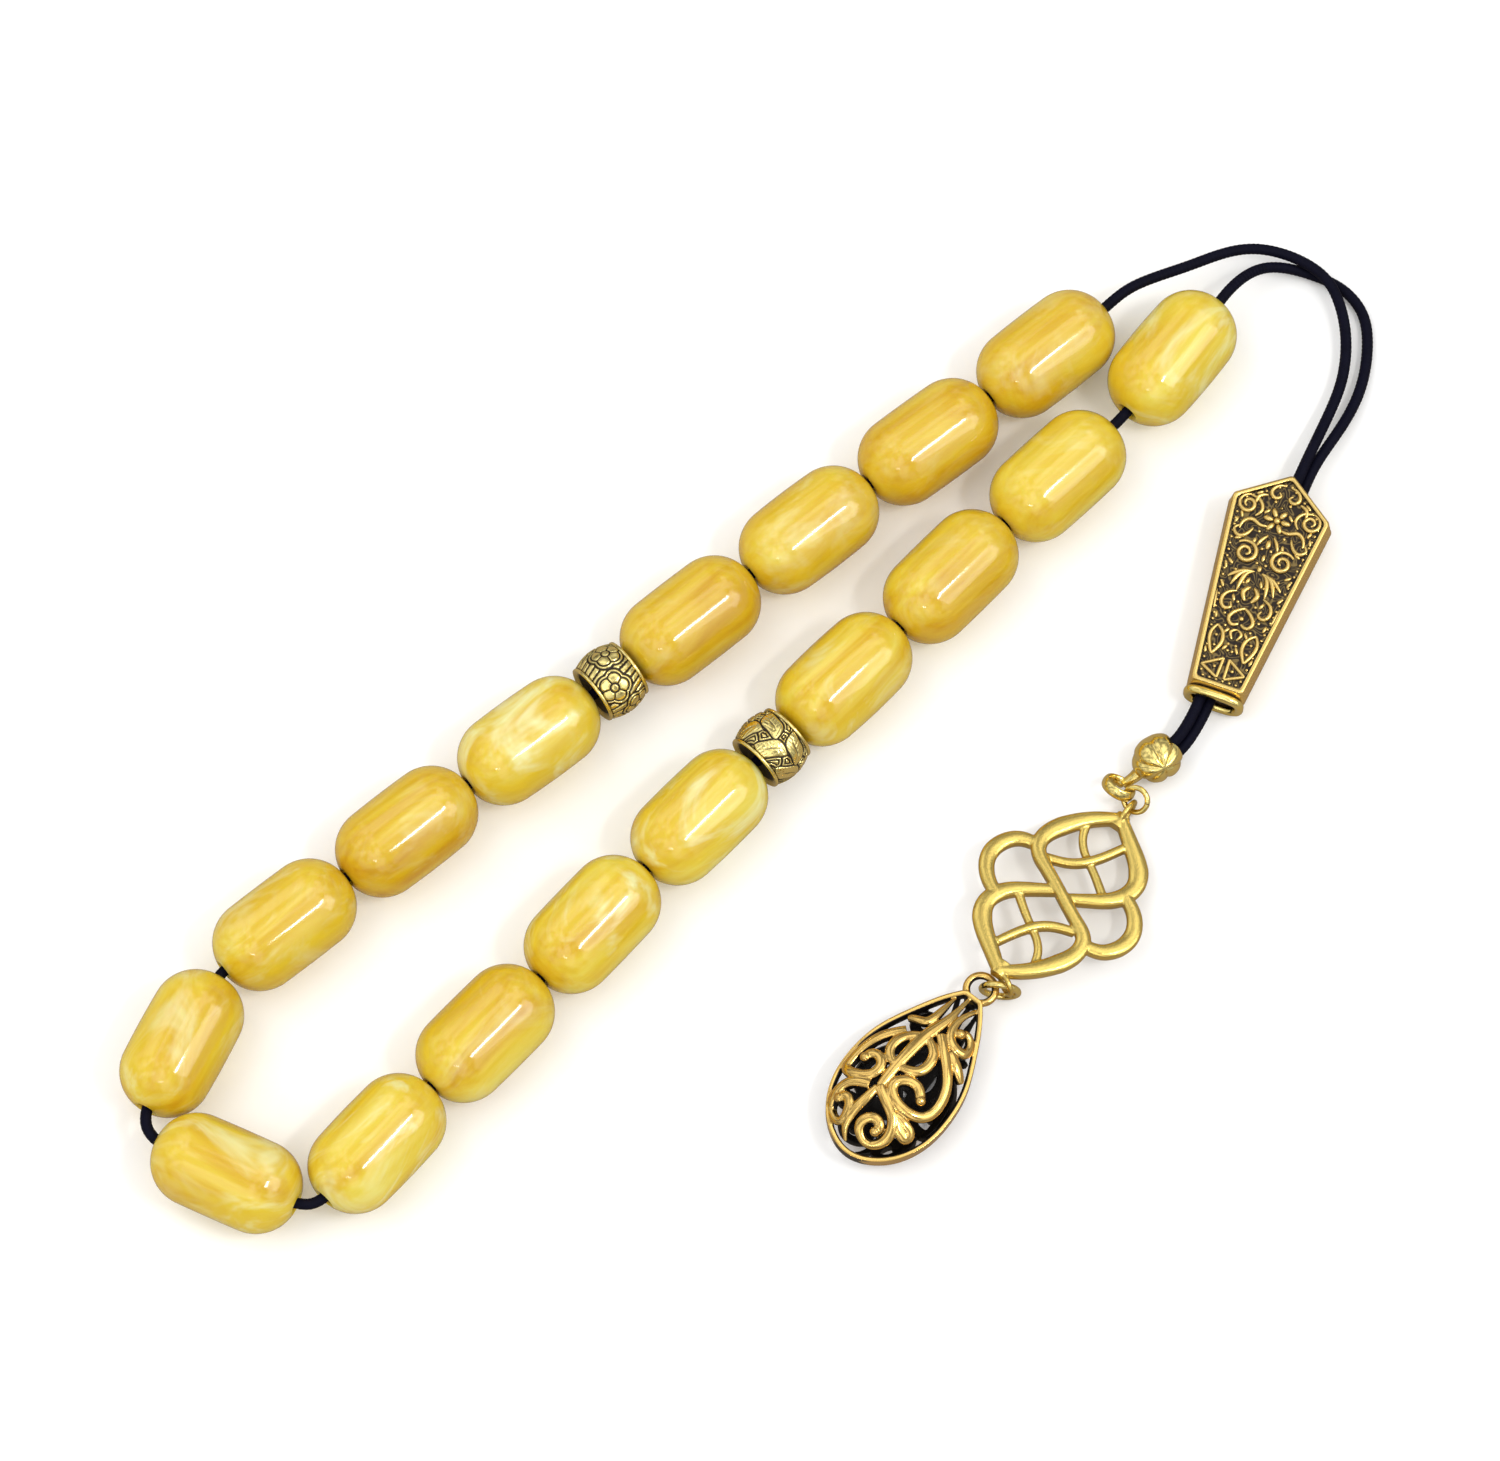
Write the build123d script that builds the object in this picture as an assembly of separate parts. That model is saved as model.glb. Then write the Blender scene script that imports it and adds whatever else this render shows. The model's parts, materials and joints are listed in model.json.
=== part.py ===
from build123d import *
import math
import os

# Misbaha (prayer beads) laid flat on a table.
# Layout coordinates are millimetres on the table, measured from the point where the two free
# strands of the cord cross. X runs along the bead loop, away from its closed end, and Z is up.
# At the end every piece is moved by ORIGIN_SHIFT, which puts the origin at the centre of the
# whole object's footprint, on the table.

# ---------------------------------------------------------------- driving dimensions, mm
BEAD_COUNT = 17
BEAD_LENGTH = 19.5
BEAD_RADIUS = 6.0
BEAD_END_RADIUS = 5.6        # radius of the rounded shoulder, seen from the side
BORE_RADIUS = 1.1
BORE_MOUTH_RADIUS = 1.5      # countersunk mouth of each bore
BORE_MOUTH_DEPTH = 0.4

SPACER_LENGTH = 6.3
SPACER_RADIUS = 4.6
SPACER_RIM_RADIUS = 4.3
SPACER_RIM_WIDTH = 0.6
SPACER_GROOVE_DEPTH = 0.25
SPACER_AFTER = {4: "spacer_upper", 13: "spacer_lower"}

CORD_RADIUS = 0.75
STRAND_HALF_PITCH = 0.78     # half the distance between the two strands where they run together
STRAND_ROLL = 40.0           # degrees by which that pair is rolled over on its side
CUT_GAP = 0.35               # bare stretch each side of a place where the cord bends as a hinge

IMAME_LENGTH = 33.6
IMAME_SHOULDER = 15.6        # full width at the shoulders, in the middle plane
IMAME_SHOULDER_AT = 5.7      # distance of the shoulders from the point
IMAME_MOUTH = 9.0
IMAME_HALF_THICKNESS = 3.2
IMAME_DRAFT = 20.0           # slope of the side walls, degrees
IMAME_PANEL_BORDER = 0.8
IMAME_PANEL_DEPTH = 0.45
IMAME_BORE = (6.0, 3.0)      # width and height of the flat bore
IMAME_POINT_INSET = 1.3      # the point moves in this much further than the sides of an inset outline

KNOT_RADIUS = 1.9
KNOT_SQUASH = 0.95           # along the cord
KNOT_CLEARANCE = 0.05        # bare gap between the knot and the strands cut off at it
COVER_HALF_LENGTH = 3.5
COVER_RADIUS = 3.05
COVER_CAVITY_RADIUS = 2.4
COVER_MOUTH_RADIUS = 1.8
HOOK_RADIUS = 1.95           # centre line of the hook's curl
HOOK_STRIP = (0.25, 0.55)    # half thickness and half width of its strip
HOOK_TILT = 50.0
HOOK_ROOT_RADIUS = 0.55
HOOK_ROOT_SET = (0.6, 0.8)   # where it grows out of the shell: this far back from the front, and down

UPPER_RING_RADIUS = 1.62     # centre line
UPPER_RING_WIRE = 0.36
UPPER_RING_TILT = -40.0
UPPER_RING_SPLIT_AT = 200.0
LOWER_RING_RADIUS = 2.3
LOWER_RING_WIRE = 0.45
LOWER_RING_SPLIT_AT = 30.0
RING_SPLIT = 0.12            # width of the saw cut that lets a jump ring be opened

CONNECTOR_HALF_LENGTH = 13.6
CONNECTOR_THICKNESS = 1.6
CONNECTOR_TILT = 7.9         # its lower tip is propped up on the pendant's ring
BAND_WIDTH = 1.8
EAR_WIDTH = 1.6
BAR_WIDTH = 0.95
EYE_RADIUS = 1.38
EYE_WIRE = 0.34
UPPER_EYE_STRETCH = 1.25
EYE_OVERLAP = 0.1            # the upper eye sinks this far into the tip

BAIL_RADIUS = 1.85
BAIL_WIRE = 0.45
PENDANT_START = 1.9          # the body begins this far from the bail's centre
PENDANT_LENGTH = 27.4        # bail centre to the round end
PENDANT_FLATTENING = 0.5     # thickness over width
PENDANT_WALL = 1.2
PENDANT_RIM = 1.5
SCROLL_WIDTH = 1.25

# ---------------------------------------------------------------- layout on the table, mm and degrees
BEAD_01 = (-35.2, 15.3)
UPPER_ROW_HEADING = 175.3    # from bead_01 towards the closed end
LOWER_ROW_HEADING = 364.5    # from the closed end back to bead_17, after the turn
LOWER_ROW_BOW = 0.6          # the returning row bends back by this much at each bead
TURN_HEADING = {8: 200.0, 9: 292.0, 17: 368.0}
ROW_GAP = 0.3
WIDE_GAP = {7: 1.2, 8: 4.6, 9: 3.5, 16: 3.0}
ROW_WANDER = 1.1             # the hand-laid rows stray this many degrees either side of straight

UPPER_FREE_STRAIGHT = 5.0    # straight cord next to bead_01, for it to slide on
LOWER_FREE_STRAIGHT = 2.8
UPPER_CROSSING_HEIGHT = 2.7
LOWER_CROSSING_HEIGHT = 0.9
UPPER_CROSSING_HEADING = -90.0
LOWER_CROSSING_HEADING = -72.0

IMAME_POINT = (-22.6, -18.5)
IMAME_HEADING = 206.6
RUN_START = (-20.0, -18.75)  # the straight run of the doubled cord, through the imame
RUN_HEADING = 202.7
RUN_LENGTH = 38.5
DOUBLED_HEIGHT = IMAME_HALF_THICKNESS

COVER_CENTRE = (-63.1, -34.1)
COVER_HEADING = 171.0
COVER_HEIGHT = 3.2
HOOK_CENTRE = (-69.4, -33.4)
UPPER_RING_CENTRE = (-69.0, -36.1)
HOOK_HEIGHT = 2.6
CONNECTOR_HEADING = 190.0
CONNECTOR_CENTRE = (-85.3, -38.95, 3.8)
LOWER_EYE_LOCAL = (-14.2, -1.6, -0.9)
LOWER_EYE_HEADING = 72.5
LOWER_RING_CENTRE = (-99.55, -42.6)
LOWER_RING_HEADING = -51.0
LOWER_RING_HEIGHT = LOWER_RING_RADIUS + LOWER_RING_WIRE
BAIL_CENTRE = (-101.45, -41.05)
PENDANT_HEADING = 188.0
PENDANT_HEIGHT = 3.75

ORIGIN_SHIFT = (96.59, 9.47, 0.0)


# ---------------------------------------------------------------- small helpers
def direction(heading):
    """Unit vector on the table for a heading in degrees."""
    angle = math.radians(heading)
    return Vector(math.cos(angle), math.sin(angle), 0)


def on_table(point, height=0.0):
    """A layout point lifted to a height."""
    return Vector(point[0], point[1], height)


def cord_along(path):
    """Round cord swept along a path."""
    start = path @ 0
    section = Plane(origin=start, z_dir=path % 0) * Circle(CORD_RADIUS)
    return sweep(section, path=path)


def open_ring(plane, radius, wire, cut_angle):
    """A jump ring with its saw cut, at an angle round the ring from the plane's x direction."""
    cut = Rot(0, 0, cut_angle) * Pos(radius, 0, 0) * Box(3 * wire, RING_SPLIT, 3 * wire)
    return plane * (Torus(radius, wire) - cut)


def strip(points, width):
    """Flat strip with round ends that follows a smooth line through the points."""
    shape = trace(Spline(*points), line_width=width)
    shape += Pos(*points[0]) * Circle(width / 2)
    shape += Pos(*points[-1]) * Circle(width / 2)
    return shape


def mirrored(points):
    """The same line on the other side of the X axis."""
    return [(x, -y) for x, y in points]


def turned(points):
    """The same line turned half a turn about the origin."""
    return [(-x, -y) for x, y in points]


# ---------------------------------------------------------------- the threaded row
def bead_heading(number):
    """Heading of a bead's bore, in the direction the cord runs from bead_01 to bead_17."""
    if number in TURN_HEADING:
        return TURN_HEADING[number]
    wander = ROW_WANDER * math.sin(2.2 * number)
    turn_start, turn_end, _ = TURN_HEADING
    if number < turn_start:
        return UPPER_ROW_HEADING + wander
    return LOWER_ROW_HEADING - LOWER_ROW_BOW * (number - turn_end - 1) + wander


def threaded_row():
    """Every threaded piece in cord order: name, centre, heading and length."""
    pieces = []
    for number in range(1, BEAD_COUNT + 1):
        heading = bead_heading(number)
        pieces.append([f"bead_{number:02d}", heading, BEAD_LENGTH, WIDE_GAP.get(number, ROW_GAP)])
        if number in SPACER_AFTER:
            middle = (heading + bead_heading(number + 1)) / 2
            pieces.append([SPACER_AFTER[number], middle, SPACER_LENGTH, ROW_GAP])
    centre = on_table(BEAD_01, BEAD_RADIUS)
    row = []
    for index, (name, heading, length, gap) in enumerate(pieces):
        row.append((name, centre, heading, length))
        if index + 1 < len(pieces):
            _, next_heading, next_length, _ = pieces[index + 1]
            centre = centre + direction(heading) * (length / 2)
            centre = centre + direction((heading + next_heading) / 2) * gap
            centre = centre + direction(next_heading) * (next_length / 2)
    return row


def make_bead():
    """Cylinder with rounded shoulders, bored along X, with countersunk mouths."""
    half = BEAD_LENGTH / 2
    core = BEAD_RADIUS - BEAD_END_RADIUS
    drop = math.sqrt(BEAD_END_RADIUS**2 - (BORE_MOUTH_RADIUS - core)**2)
    straight = half - drop
    slope = BEAD_END_RADIUS * math.sin(math.radians(45))
    shoulder = (straight + slope, core + slope)
    profile = Polyline(
        (-straight, BEAD_RADIUS), (straight, BEAD_RADIUS),
    ) + ThreePointArc((straight, BEAD_RADIUS), shoulder, (half, BORE_MOUTH_RADIUS))
    far_shoulder = (-shoulder[0], shoulder[1])
    profile += ThreePointArc((-straight, BEAD_RADIUS), far_shoulder, (-half, BORE_MOUTH_RADIUS))
    profile += Polyline(
        (half, BORE_MOUTH_RADIUS), (half - BORE_MOUTH_DEPTH, BORE_RADIUS),
        (-half + BORE_MOUTH_DEPTH, BORE_RADIUS), (-half, BORE_MOUTH_RADIUS),
    )
    return revolve(make_face(profile), Axis.X)


def make_spacer():
    """Slightly barrelled metal bead with a plain rim at each end, bored along X."""
    half = SPACER_LENGTH / 2
    inner = half - SPACER_RIM_WIDTH
    groove = SPACER_RIM_RADIUS - SPACER_GROOVE_DEPTH
    profile = Polyline(
        (-inner, groove), (-inner, SPACER_RIM_RADIUS), (-half, SPACER_RIM_RADIUS),
        (-half, BORE_RADIUS), (half, BORE_RADIUS), (half, SPACER_RIM_RADIUS),
        (inner, SPACER_RIM_RADIUS), (inner, groove),
    ) + ThreePointArc((inner, groove), (0, SPACER_RADIUS), (-inner, groove))
    return revolve(make_face(profile), Axis.X)


# ---------------------------------------------------------------- the cord
def row_cord_edges(row):
    """Straight inside each piece, and a tangent arc across each gap, from bead_01 to bead_17."""
    edges = []
    for index, (_, centre, heading, length) in enumerate(row):
        half = direction(heading) * (length / 2)
        edges.append(Line(centre - half, centre + half))
        if index + 1 < len(row):
            _, next_centre, next_heading, next_length = row[index + 1]
            target = next_centre - direction(next_heading) * (next_length / 2)
            edges.append(TangentArc(centre + half, target, tangent=direction(heading)))
    return edges


def crossing_end(height, heading, side):
    """Where a strand is cut, just before (-1) or just after (+1) the crossing."""
    return Vector(0, 0, height) + direction(heading) * (side * CUT_GAP)


def upper_free_strand(row):
    """The strand from bead_01 to the crossing, in that direction."""
    _, centre, heading, length = row[0]
    outward = direction(heading) * -1
    mouth = centre + outward * (length / 2)
    straight_end = mouth + outward * UPPER_FREE_STRAIGHT
    end = crossing_end(UPPER_CROSSING_HEIGHT, UPPER_CROSSING_HEADING, -1)
    curve = Spline(
        straight_end, (-12.3, 11.7, 4.6), (-3.9, 7.9, 3.1), end,
        tangents=[outward, direction(UPPER_CROSSING_HEADING)],
    )
    return [Line(mouth, straight_end), curve]


def lower_free_strand(row):
    """The strand from bead_17 to the crossing, in that direction."""
    _, centre, heading, length = row[-1]
    outward = direction(heading)
    mouth = centre + outward * (length / 2)
    straight_end = mouth + outward * LOWER_FREE_STRAIGHT
    end = crossing_end(LOWER_CROSSING_HEIGHT, LOWER_CROSSING_HEADING, -1)
    curve = Spline(
        straight_end, (-4.6, 4.9, 3.0), end,
        tangents=[outward, direction(LOWER_CROSSING_HEADING)],
    )
    return [Line(mouth, straight_end), curve]


def make_cord_loop(row):
    """One cord from the crossing, through every bead, and back to the crossing."""
    edges = upper_free_strand(row) + row_cord_edges(row) + lower_free_strand(row)
    return cord_along(Wire([edge for part in edges for edge in part.edges()]))


def strand_offset(heading, side):
    """Where one strand of the doubled cord runs, relative to the pair's middle."""
    roll = math.radians(STRAND_ROLL)
    sideways = direction(heading + 90) * (side * STRAND_HALF_PITCH * math.cos(roll))
    return sideways - Vector(0, 0, side * STRAND_HALF_PITCH * math.sin(roll))


def run_point(distance):
    """A point on the middle of the doubled cord's straight run."""
    return on_table(RUN_START, DOUBLED_HEIGHT) + direction(RUN_HEADING) * distance


def make_cord_neck():
    """Both strands, from the crossing round the bend and straight through the imame."""
    inner = [(-0.9, -4.8, 2.3), (-3.8, -9.1, 1.9), (-8.2, -12.8, 1.9), (-13.4, -15.4, 2.6)]
    outer = [
        (1.2, -3.9, 0.85), (0.6, -7.9, 0.85), (-2.2, -11.6, 0.9), (-6.9, -15.1, 1.2), (-12.9, -17.5, 1.9),
    ]
    bends = {
        -1: (UPPER_CROSSING_HEIGHT, UPPER_CROSSING_HEADING, inner),
        1: (LOWER_CROSSING_HEIGHT, LOWER_CROSSING_HEADING, outer),
    }
    strands = []
    for side, (height, heading, middle) in bends.items():
        start = crossing_end(height, heading, 1)
        run_start = run_point(0) + strand_offset(RUN_HEADING, side)
        run_end = run_point(RUN_LENGTH) + strand_offset(RUN_HEADING, side)
        bend = Spline(start, *middle, run_start, tangents=[direction(heading), direction(RUN_HEADING)])
        strands.append(cord_along(Wire([bend.edge(), Line(run_start, run_end).edge()])))
    return Compound(children=[strand.solid() for strand in strands])


def tassel_pivot():
    """The place on the doubled cord where the tassel swings."""
    return run_point(RUN_LENGTH + CUT_GAP)


def make_cord_end():
    """The last stretch of both strands, from the tassel's bend into the knot."""
    start = run_point(RUN_LENGTH + 2 * CUT_GAP)
    inward = direction(COVER_HEADING)
    end = on_table(COVER_CENTRE, COVER_HEIGHT) - inward * (KNOT_RADIUS / 2)
    knot_space = Pos(*on_table(COVER_CENTRE, COVER_HEIGHT)) * Sphere(KNOT_RADIUS + KNOT_CLEARANCE)
    strands = []
    for side in (-1, 1):
        first = start + strand_offset(RUN_HEADING, side)
        last = end + strand_offset(COVER_HEADING, side)
        curve = Spline(first, last, tangents=[direction(RUN_HEADING), inward])
        strand = cord_along(Wire([curve.edge()])) - knot_space
        strands.append(strand)
    return Compound(children=[strand.solid() for strand in strands])


def make_end_knot():
    """The knot as a ball of cord, squashed a little along the cord."""
    ball = scale(Sphere(KNOT_RADIUS), by=(KNOT_SQUASH, 1, 1))
    return Pos(*on_table(COVER_CENTRE, COVER_HEIGHT)) * Rot(0, 0, COVER_HEADING) * ball


# ---------------------------------------------------------------- the imame
def imame_outline(inset=0.0):
    """Gabled outline in the middle plane: point at the origin, mouth at +X."""
    shoulder = IMAME_SHOULDER / 2 - inset
    mouth = IMAME_MOUTH / 2 - inset
    return make_face(Polyline(
        (inset * IMAME_POINT_INSET, 0), (IMAME_SHOULDER_AT, -shoulder), (IMAME_LENGTH - inset, -mouth),
        (IMAME_LENGTH - inset, mouth), (IMAME_SHOULDER_AT, shoulder), (inset * IMAME_POINT_INSET, 0),
    ))


def make_imame():
    """Flat gabled casting: drafted walls, a sunk panel in the front and a wide flat bore."""
    half = extrude(imame_outline(), amount=IMAME_HALF_THICKNESS, taper=IMAME_DRAFT)
    body = half + mirror(half, about=Plane.XY)
    wall_inset = IMAME_HALF_THICKNESS * math.tan(math.radians(IMAME_DRAFT))
    panel_top = IMAME_HALF_THICKNESS - IMAME_PANEL_DEPTH
    panel = Pos(0, 0, panel_top) * extrude(
        imame_outline(wall_inset + IMAME_PANEL_BORDER), amount=2 * IMAME_PANEL_DEPTH)
    body -= panel
    width, height = IMAME_BORE
    slot = extrude(Plane.YZ * SlotOverall(width, height), amount=2 * IMAME_LENGTH)
    body -= Pos(-IMAME_LENGTH / 2, 0, 0) * slot
    return Pos(*on_table(IMAME_POINT, IMAME_HALF_THICKNESS)) * Rot(0, 0, IMAME_HEADING) * body


# ---------------------------------------------------------------- knot cover and upper ring
def link_line():
    """Unit vector from the upper ring's centre to the hook's centre."""
    return (on_table(HOOK_CENTRE) - on_table(UPPER_RING_CENTRE)).normalized()


def tilted_plane(centre, tilt):
    """A plane through a centre that contains the link line, tilted about it."""
    along = link_line()
    across = Vector(0, 0, 1).cross(along)
    angle = math.radians(tilt)
    second = across * math.cos(angle) + Vector(0, 0, 1) * math.sin(angle)
    return Plane(origin=centre, x_dir=along, z_dir=along.cross(second))


def cover_shell():
    """Hollow egg-shaped shell along X, open for the cord at -X."""
    egg = Ellipse(COVER_HALF_LENGTH, COVER_RADIUS) - Circle(COVER_CAVITY_RADIUS)
    upper_half = Pos(0, COVER_RADIUS) * Rectangle(3 * COVER_HALF_LENGTH, 2 * COVER_RADIUS)
    mouth = Pos(-COVER_HALF_LENGTH, 0) * Rectangle(2 * COVER_HALF_LENGTH, 2 * COVER_MOUTH_RADIUS)
    return revolve((egg & upper_half) - mouth, Axis.X)


def make_knot_cover():
    """Hollow clamshell over the knot, with a curled strip for a hook."""
    centre = on_table(COVER_CENTRE, COVER_HEIGHT)
    shell = Pos(*centre) * Rot(0, 0, COVER_HEADING) * cover_shell()
    hook_plane = tilted_plane(on_table(HOOK_CENTRE, HOOK_HEIGHT), HOOK_TILT)
    section = Plane.XZ * (Pos(HOOK_RADIUS, 0) * Ellipse(*HOOK_STRIP))
    hook = hook_plane * revolve(section, Axis.Z)
    root = hook_plane.origin - hook_plane.y_dir * HOOK_RADIUS
    back, down = HOOK_ROOT_SET
    front = centre + direction(COVER_HEADING) * (COVER_HALF_LENGTH - back) - Vector(0, 0, down)
    reach = front - root
    web = Plane(origin=root, z_dir=reach) * extrude(Circle(HOOK_ROOT_RADIUS), amount=reach.length)
    return shell + hook + (web - Pos(*centre) * Sphere(COVER_CAVITY_RADIUS))


def make_upper_ring():
    """Jump ring that joins the hook to the connector's upper eye."""
    plane = tilted_plane(on_table(UPPER_RING_CENTRE, HOOK_HEIGHT), UPPER_RING_TILT)
    return open_ring(plane, UPPER_RING_RADIUS, UPPER_RING_WIRE, UPPER_RING_SPLIT_AT)


# ---------------------------------------------------------------- the connector
def connector_place():
    """Where the connector's own frame sits: +X towards its upper tip, +Z out of its face."""
    return Pos(*CONNECTOR_CENTRE) * Rot(0, 0, CONNECTOR_HEADING - 180) * Rot(0, CONNECTOR_TILT, 0)


def make_connector():
    """Two interlaced leaves with an ear on each side, and an eye at each tip."""
    tip = (CONNECTOR_HALF_LENGTH, 0)
    snake_half = [tip, (11.3, 2.9), (8.2, 5.4), (5.2, 6.5), (3.2, 5.7), (2.0, 3.9), (0.8, 1.4)]
    snake = snake_half + [(0, 0)] + turned(snake_half)[::-1]
    leaf = [tip, (11.4, -3.0), (9.2, -5.7), (6.8, -6.8), (4.2, -6.0), (2.0, -3.7), (0.3, -0.6)]
    ear = [(4.2, 6.4), (3.5, 8.8), (1.2, 10.4), (-1.5, 10.3), (-3.7, 8.7), (-4.9, 6.6)]
    arc = [(3.2, 5.0), (4.6, 1.3), (6.9, -0.9), (11.2, -3.0)]
    bar = [(9.6, 4.3), (7.4, 1.7), (5.6, -1.2), (3.9, -5.8)]
    flat = strip(snake, BAND_WIDTH)
    for points, width in ((leaf, BAND_WIDTH), (ear, EAR_WIDTH), (arc, BAR_WIDTH), (bar, BAR_WIDTH)):
        flat += strip(points, width)
        flat += strip(turned(points), width)
    plate = extrude(flat, amount=CONNECTOR_THICKNESS / 2, both=True)
    eye = Plane.XZ * Torus(EYE_RADIUS, EYE_WIRE)
    long_eye = scale(eye, by=(UPPER_EYE_STRETCH, 1, 1))
    upper_eye = Pos(CONNECTOR_HALF_LENGTH + EYE_RADIUS - EYE_OVERLAP, 0, 0) * long_eye
    eye_turn = LOWER_EYE_HEADING - (CONNECTOR_HEADING - 180)
    lower_eye = Pos(*LOWER_EYE_LOCAL) * Rot(0, 0, eye_turn) * eye
    return connector_place() * (plate + upper_eye + lower_eye)


# ---------------------------------------------------------------- lower ring and pendant
def make_lower_ring():
    """Jump ring that stands on edge between the connector's lower eye and the bail."""
    plane = Plane(
        origin=on_table(LOWER_RING_CENTRE, LOWER_RING_HEIGHT),
        x_dir=direction(LOWER_RING_HEADING), z_dir=direction(LOWER_RING_HEADING + 90))
    return open_ring(plane, LOWER_RING_RADIUS, LOWER_RING_WIRE, LOWER_RING_SPLIT_AT)


def teardrop_half(inset=0.0):
    """Half outline of the pendant: bail at the origin, round end at +X."""
    start = PENDANT_START + inset
    end = PENDANT_LENGTH - inset
    curve = Spline(
        (start, 1.1 - inset / 2), (8.5, 5.1 - inset), (16.5, 7.35 - inset), (24.3, 5.4 - inset), (end, 0),
        tangents=[(1, 0.75), (0, -1)],
    )
    return curve + Polyline((end, 0), (start, 0), (start, 1.1 - inset / 2))


def flattened_drop(inset=0.0):
    """Teardrop of round section, flattened across its thickness."""
    drop = revolve(make_face(teardrop_half(inset)), Axis.X)
    return scale(drop, by=(1, 1, PENDANT_FLATTENING))


def pendant_scrolls():
    """Plan view of the openwork: spine, eye, side scrolls and the curl at the round end."""
    spine = [(PENDANT_START, 0), (10, 0), (19.4, 0)]
    eye = [(9.9, 0), (11.4, 2.2), (13.4, 2.9), (14.9, 2.1), (15.6, 0)]
    side = [(9.4, 1.9), (11.2, 4.2), (13.6, 5.8), (16.6, 6.3), (19.0, 5.6), (19.8, 3.8), (18.9, 2.0),
            (17.2, 1.7), (16.3, 3.0), (17.0, 4.3)]
    upper = [(2.6, 1.2), (5.0, 1.5), (7.4, 1.9), (8.4, 3.2), (7.6, 4.2), (6.5, 3.6)]
    curl = [(19.4, 0), (21.2, 2.6), (23.6, 3.3), (25.6, 1.9), (25.8, -0.4), (24.2, -1.8), (22.6, -0.8),
            (23.0, 0.7), (24.2, 0.6)]
    tail = [(19.4, 0), (21.4, -2.4), (23.8, -3.5), (25.6, -3.7)]
    plan = strip(spine, SCROLL_WIDTH) + strip(curl, SCROLL_WIDTH) + strip(tail, SCROLL_WIDTH)
    for points in (eye, side, upper):
        plan += strip(points, SCROLL_WIDTH)
        plan += strip(mirrored(points), SCROLL_WIDTH)
    return plan


def make_pendant():
    """Hollow flattened teardrop with pierced faces, a solid rim and a bail."""
    wall = flattened_drop() - flattened_drop(PENDANT_WALL)
    half = make_face(teardrop_half())
    hollow = make_face(teardrop_half(PENDANT_RIM))
    rim = half - hollow
    rim += mirror(rim, about=Plane.XZ)
    plan = rim + pendant_scrolls()
    height = 2 * BEAD_RADIUS
    body = wall & (Pos(0, 0, -height / 2) * extrude(plan, amount=height))
    body = max(body.solids(), key=lambda solid: solid.volume)
    pendant = body + Torus(BAIL_RADIUS, BAIL_WIRE)
    return Pos(*on_table(BAIL_CENTRE, PENDANT_HEIGHT)) * Rot(0, 0, PENDANT_HEADING) * pendant


# ---------------------------------------------------------------- all nodes
def make_nodes():
    """Every node by name, in layout coordinates."""
    row = threaded_row()
    bead = make_bead()
    spacer = make_spacer()
    nodes = {}
    for name, centre, heading, _ in row:
        shape = bead if name.startswith("bead") else spacer
        nodes[name] = Pos(*centre) * Rot(0, 0, heading) * shape
    nodes["cord_loop"] = make_cord_loop(row)
    nodes["cord_neck"] = make_cord_neck()
    nodes["cord_end"] = make_cord_end()
    nodes["end_knot"] = make_end_knot()
    nodes["imame"] = make_imame()
    nodes["knot_cover"] = make_knot_cover()
    nodes["jump_ring_upper"] = make_upper_ring()
    nodes["connector"] = make_connector()
    nodes["jump_ring_lower"] = make_lower_ring()
    nodes["pendant"] = make_pendant()
    return nodes


def main():
    os.makedirs("parts", exist_ok=True)
    for name, shape in make_nodes().items():
        export_step(Pos(*ORIGIN_SHIFT) * shape, f"parts/{name}.step")


if __name__ == "__main__":
    main()
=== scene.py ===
import json
import math
import random

import bmesh
import bpy
import numpy as np
from mathutils import Matrix, Vector


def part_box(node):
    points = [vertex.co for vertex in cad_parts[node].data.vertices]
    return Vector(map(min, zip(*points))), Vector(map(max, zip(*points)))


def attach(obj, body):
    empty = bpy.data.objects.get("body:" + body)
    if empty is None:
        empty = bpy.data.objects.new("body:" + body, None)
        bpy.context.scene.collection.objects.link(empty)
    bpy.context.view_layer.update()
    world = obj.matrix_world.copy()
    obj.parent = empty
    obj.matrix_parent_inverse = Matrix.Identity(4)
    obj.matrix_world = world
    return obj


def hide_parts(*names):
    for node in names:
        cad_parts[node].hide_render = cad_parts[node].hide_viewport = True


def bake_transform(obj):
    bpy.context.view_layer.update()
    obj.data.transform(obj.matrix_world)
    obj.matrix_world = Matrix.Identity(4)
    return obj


# Misbaha (prayer beads) laid flat on a table. Shapes are written in millimetres and built in metres.
# Layout positions are measured from the point where the two free strands of the cord cross.

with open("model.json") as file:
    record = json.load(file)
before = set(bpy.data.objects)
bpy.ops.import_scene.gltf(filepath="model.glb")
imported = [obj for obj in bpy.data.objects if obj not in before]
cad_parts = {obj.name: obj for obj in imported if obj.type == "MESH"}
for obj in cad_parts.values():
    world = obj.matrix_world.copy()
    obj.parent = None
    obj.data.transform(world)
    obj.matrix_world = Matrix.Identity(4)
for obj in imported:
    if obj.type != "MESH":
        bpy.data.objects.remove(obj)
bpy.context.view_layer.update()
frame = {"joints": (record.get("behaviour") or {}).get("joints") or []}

MM = 0.001
UP = (0.0, 0.0, 1.0)
joints = {joint["name"]: joint for joint in frame["joints"]}
CROSSING = Vector(joints["neck_bend"]["pos_m"])
LAYOUT_ORIGIN = Vector((CROSSING.x, CROSSING.y, 0.0))

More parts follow.
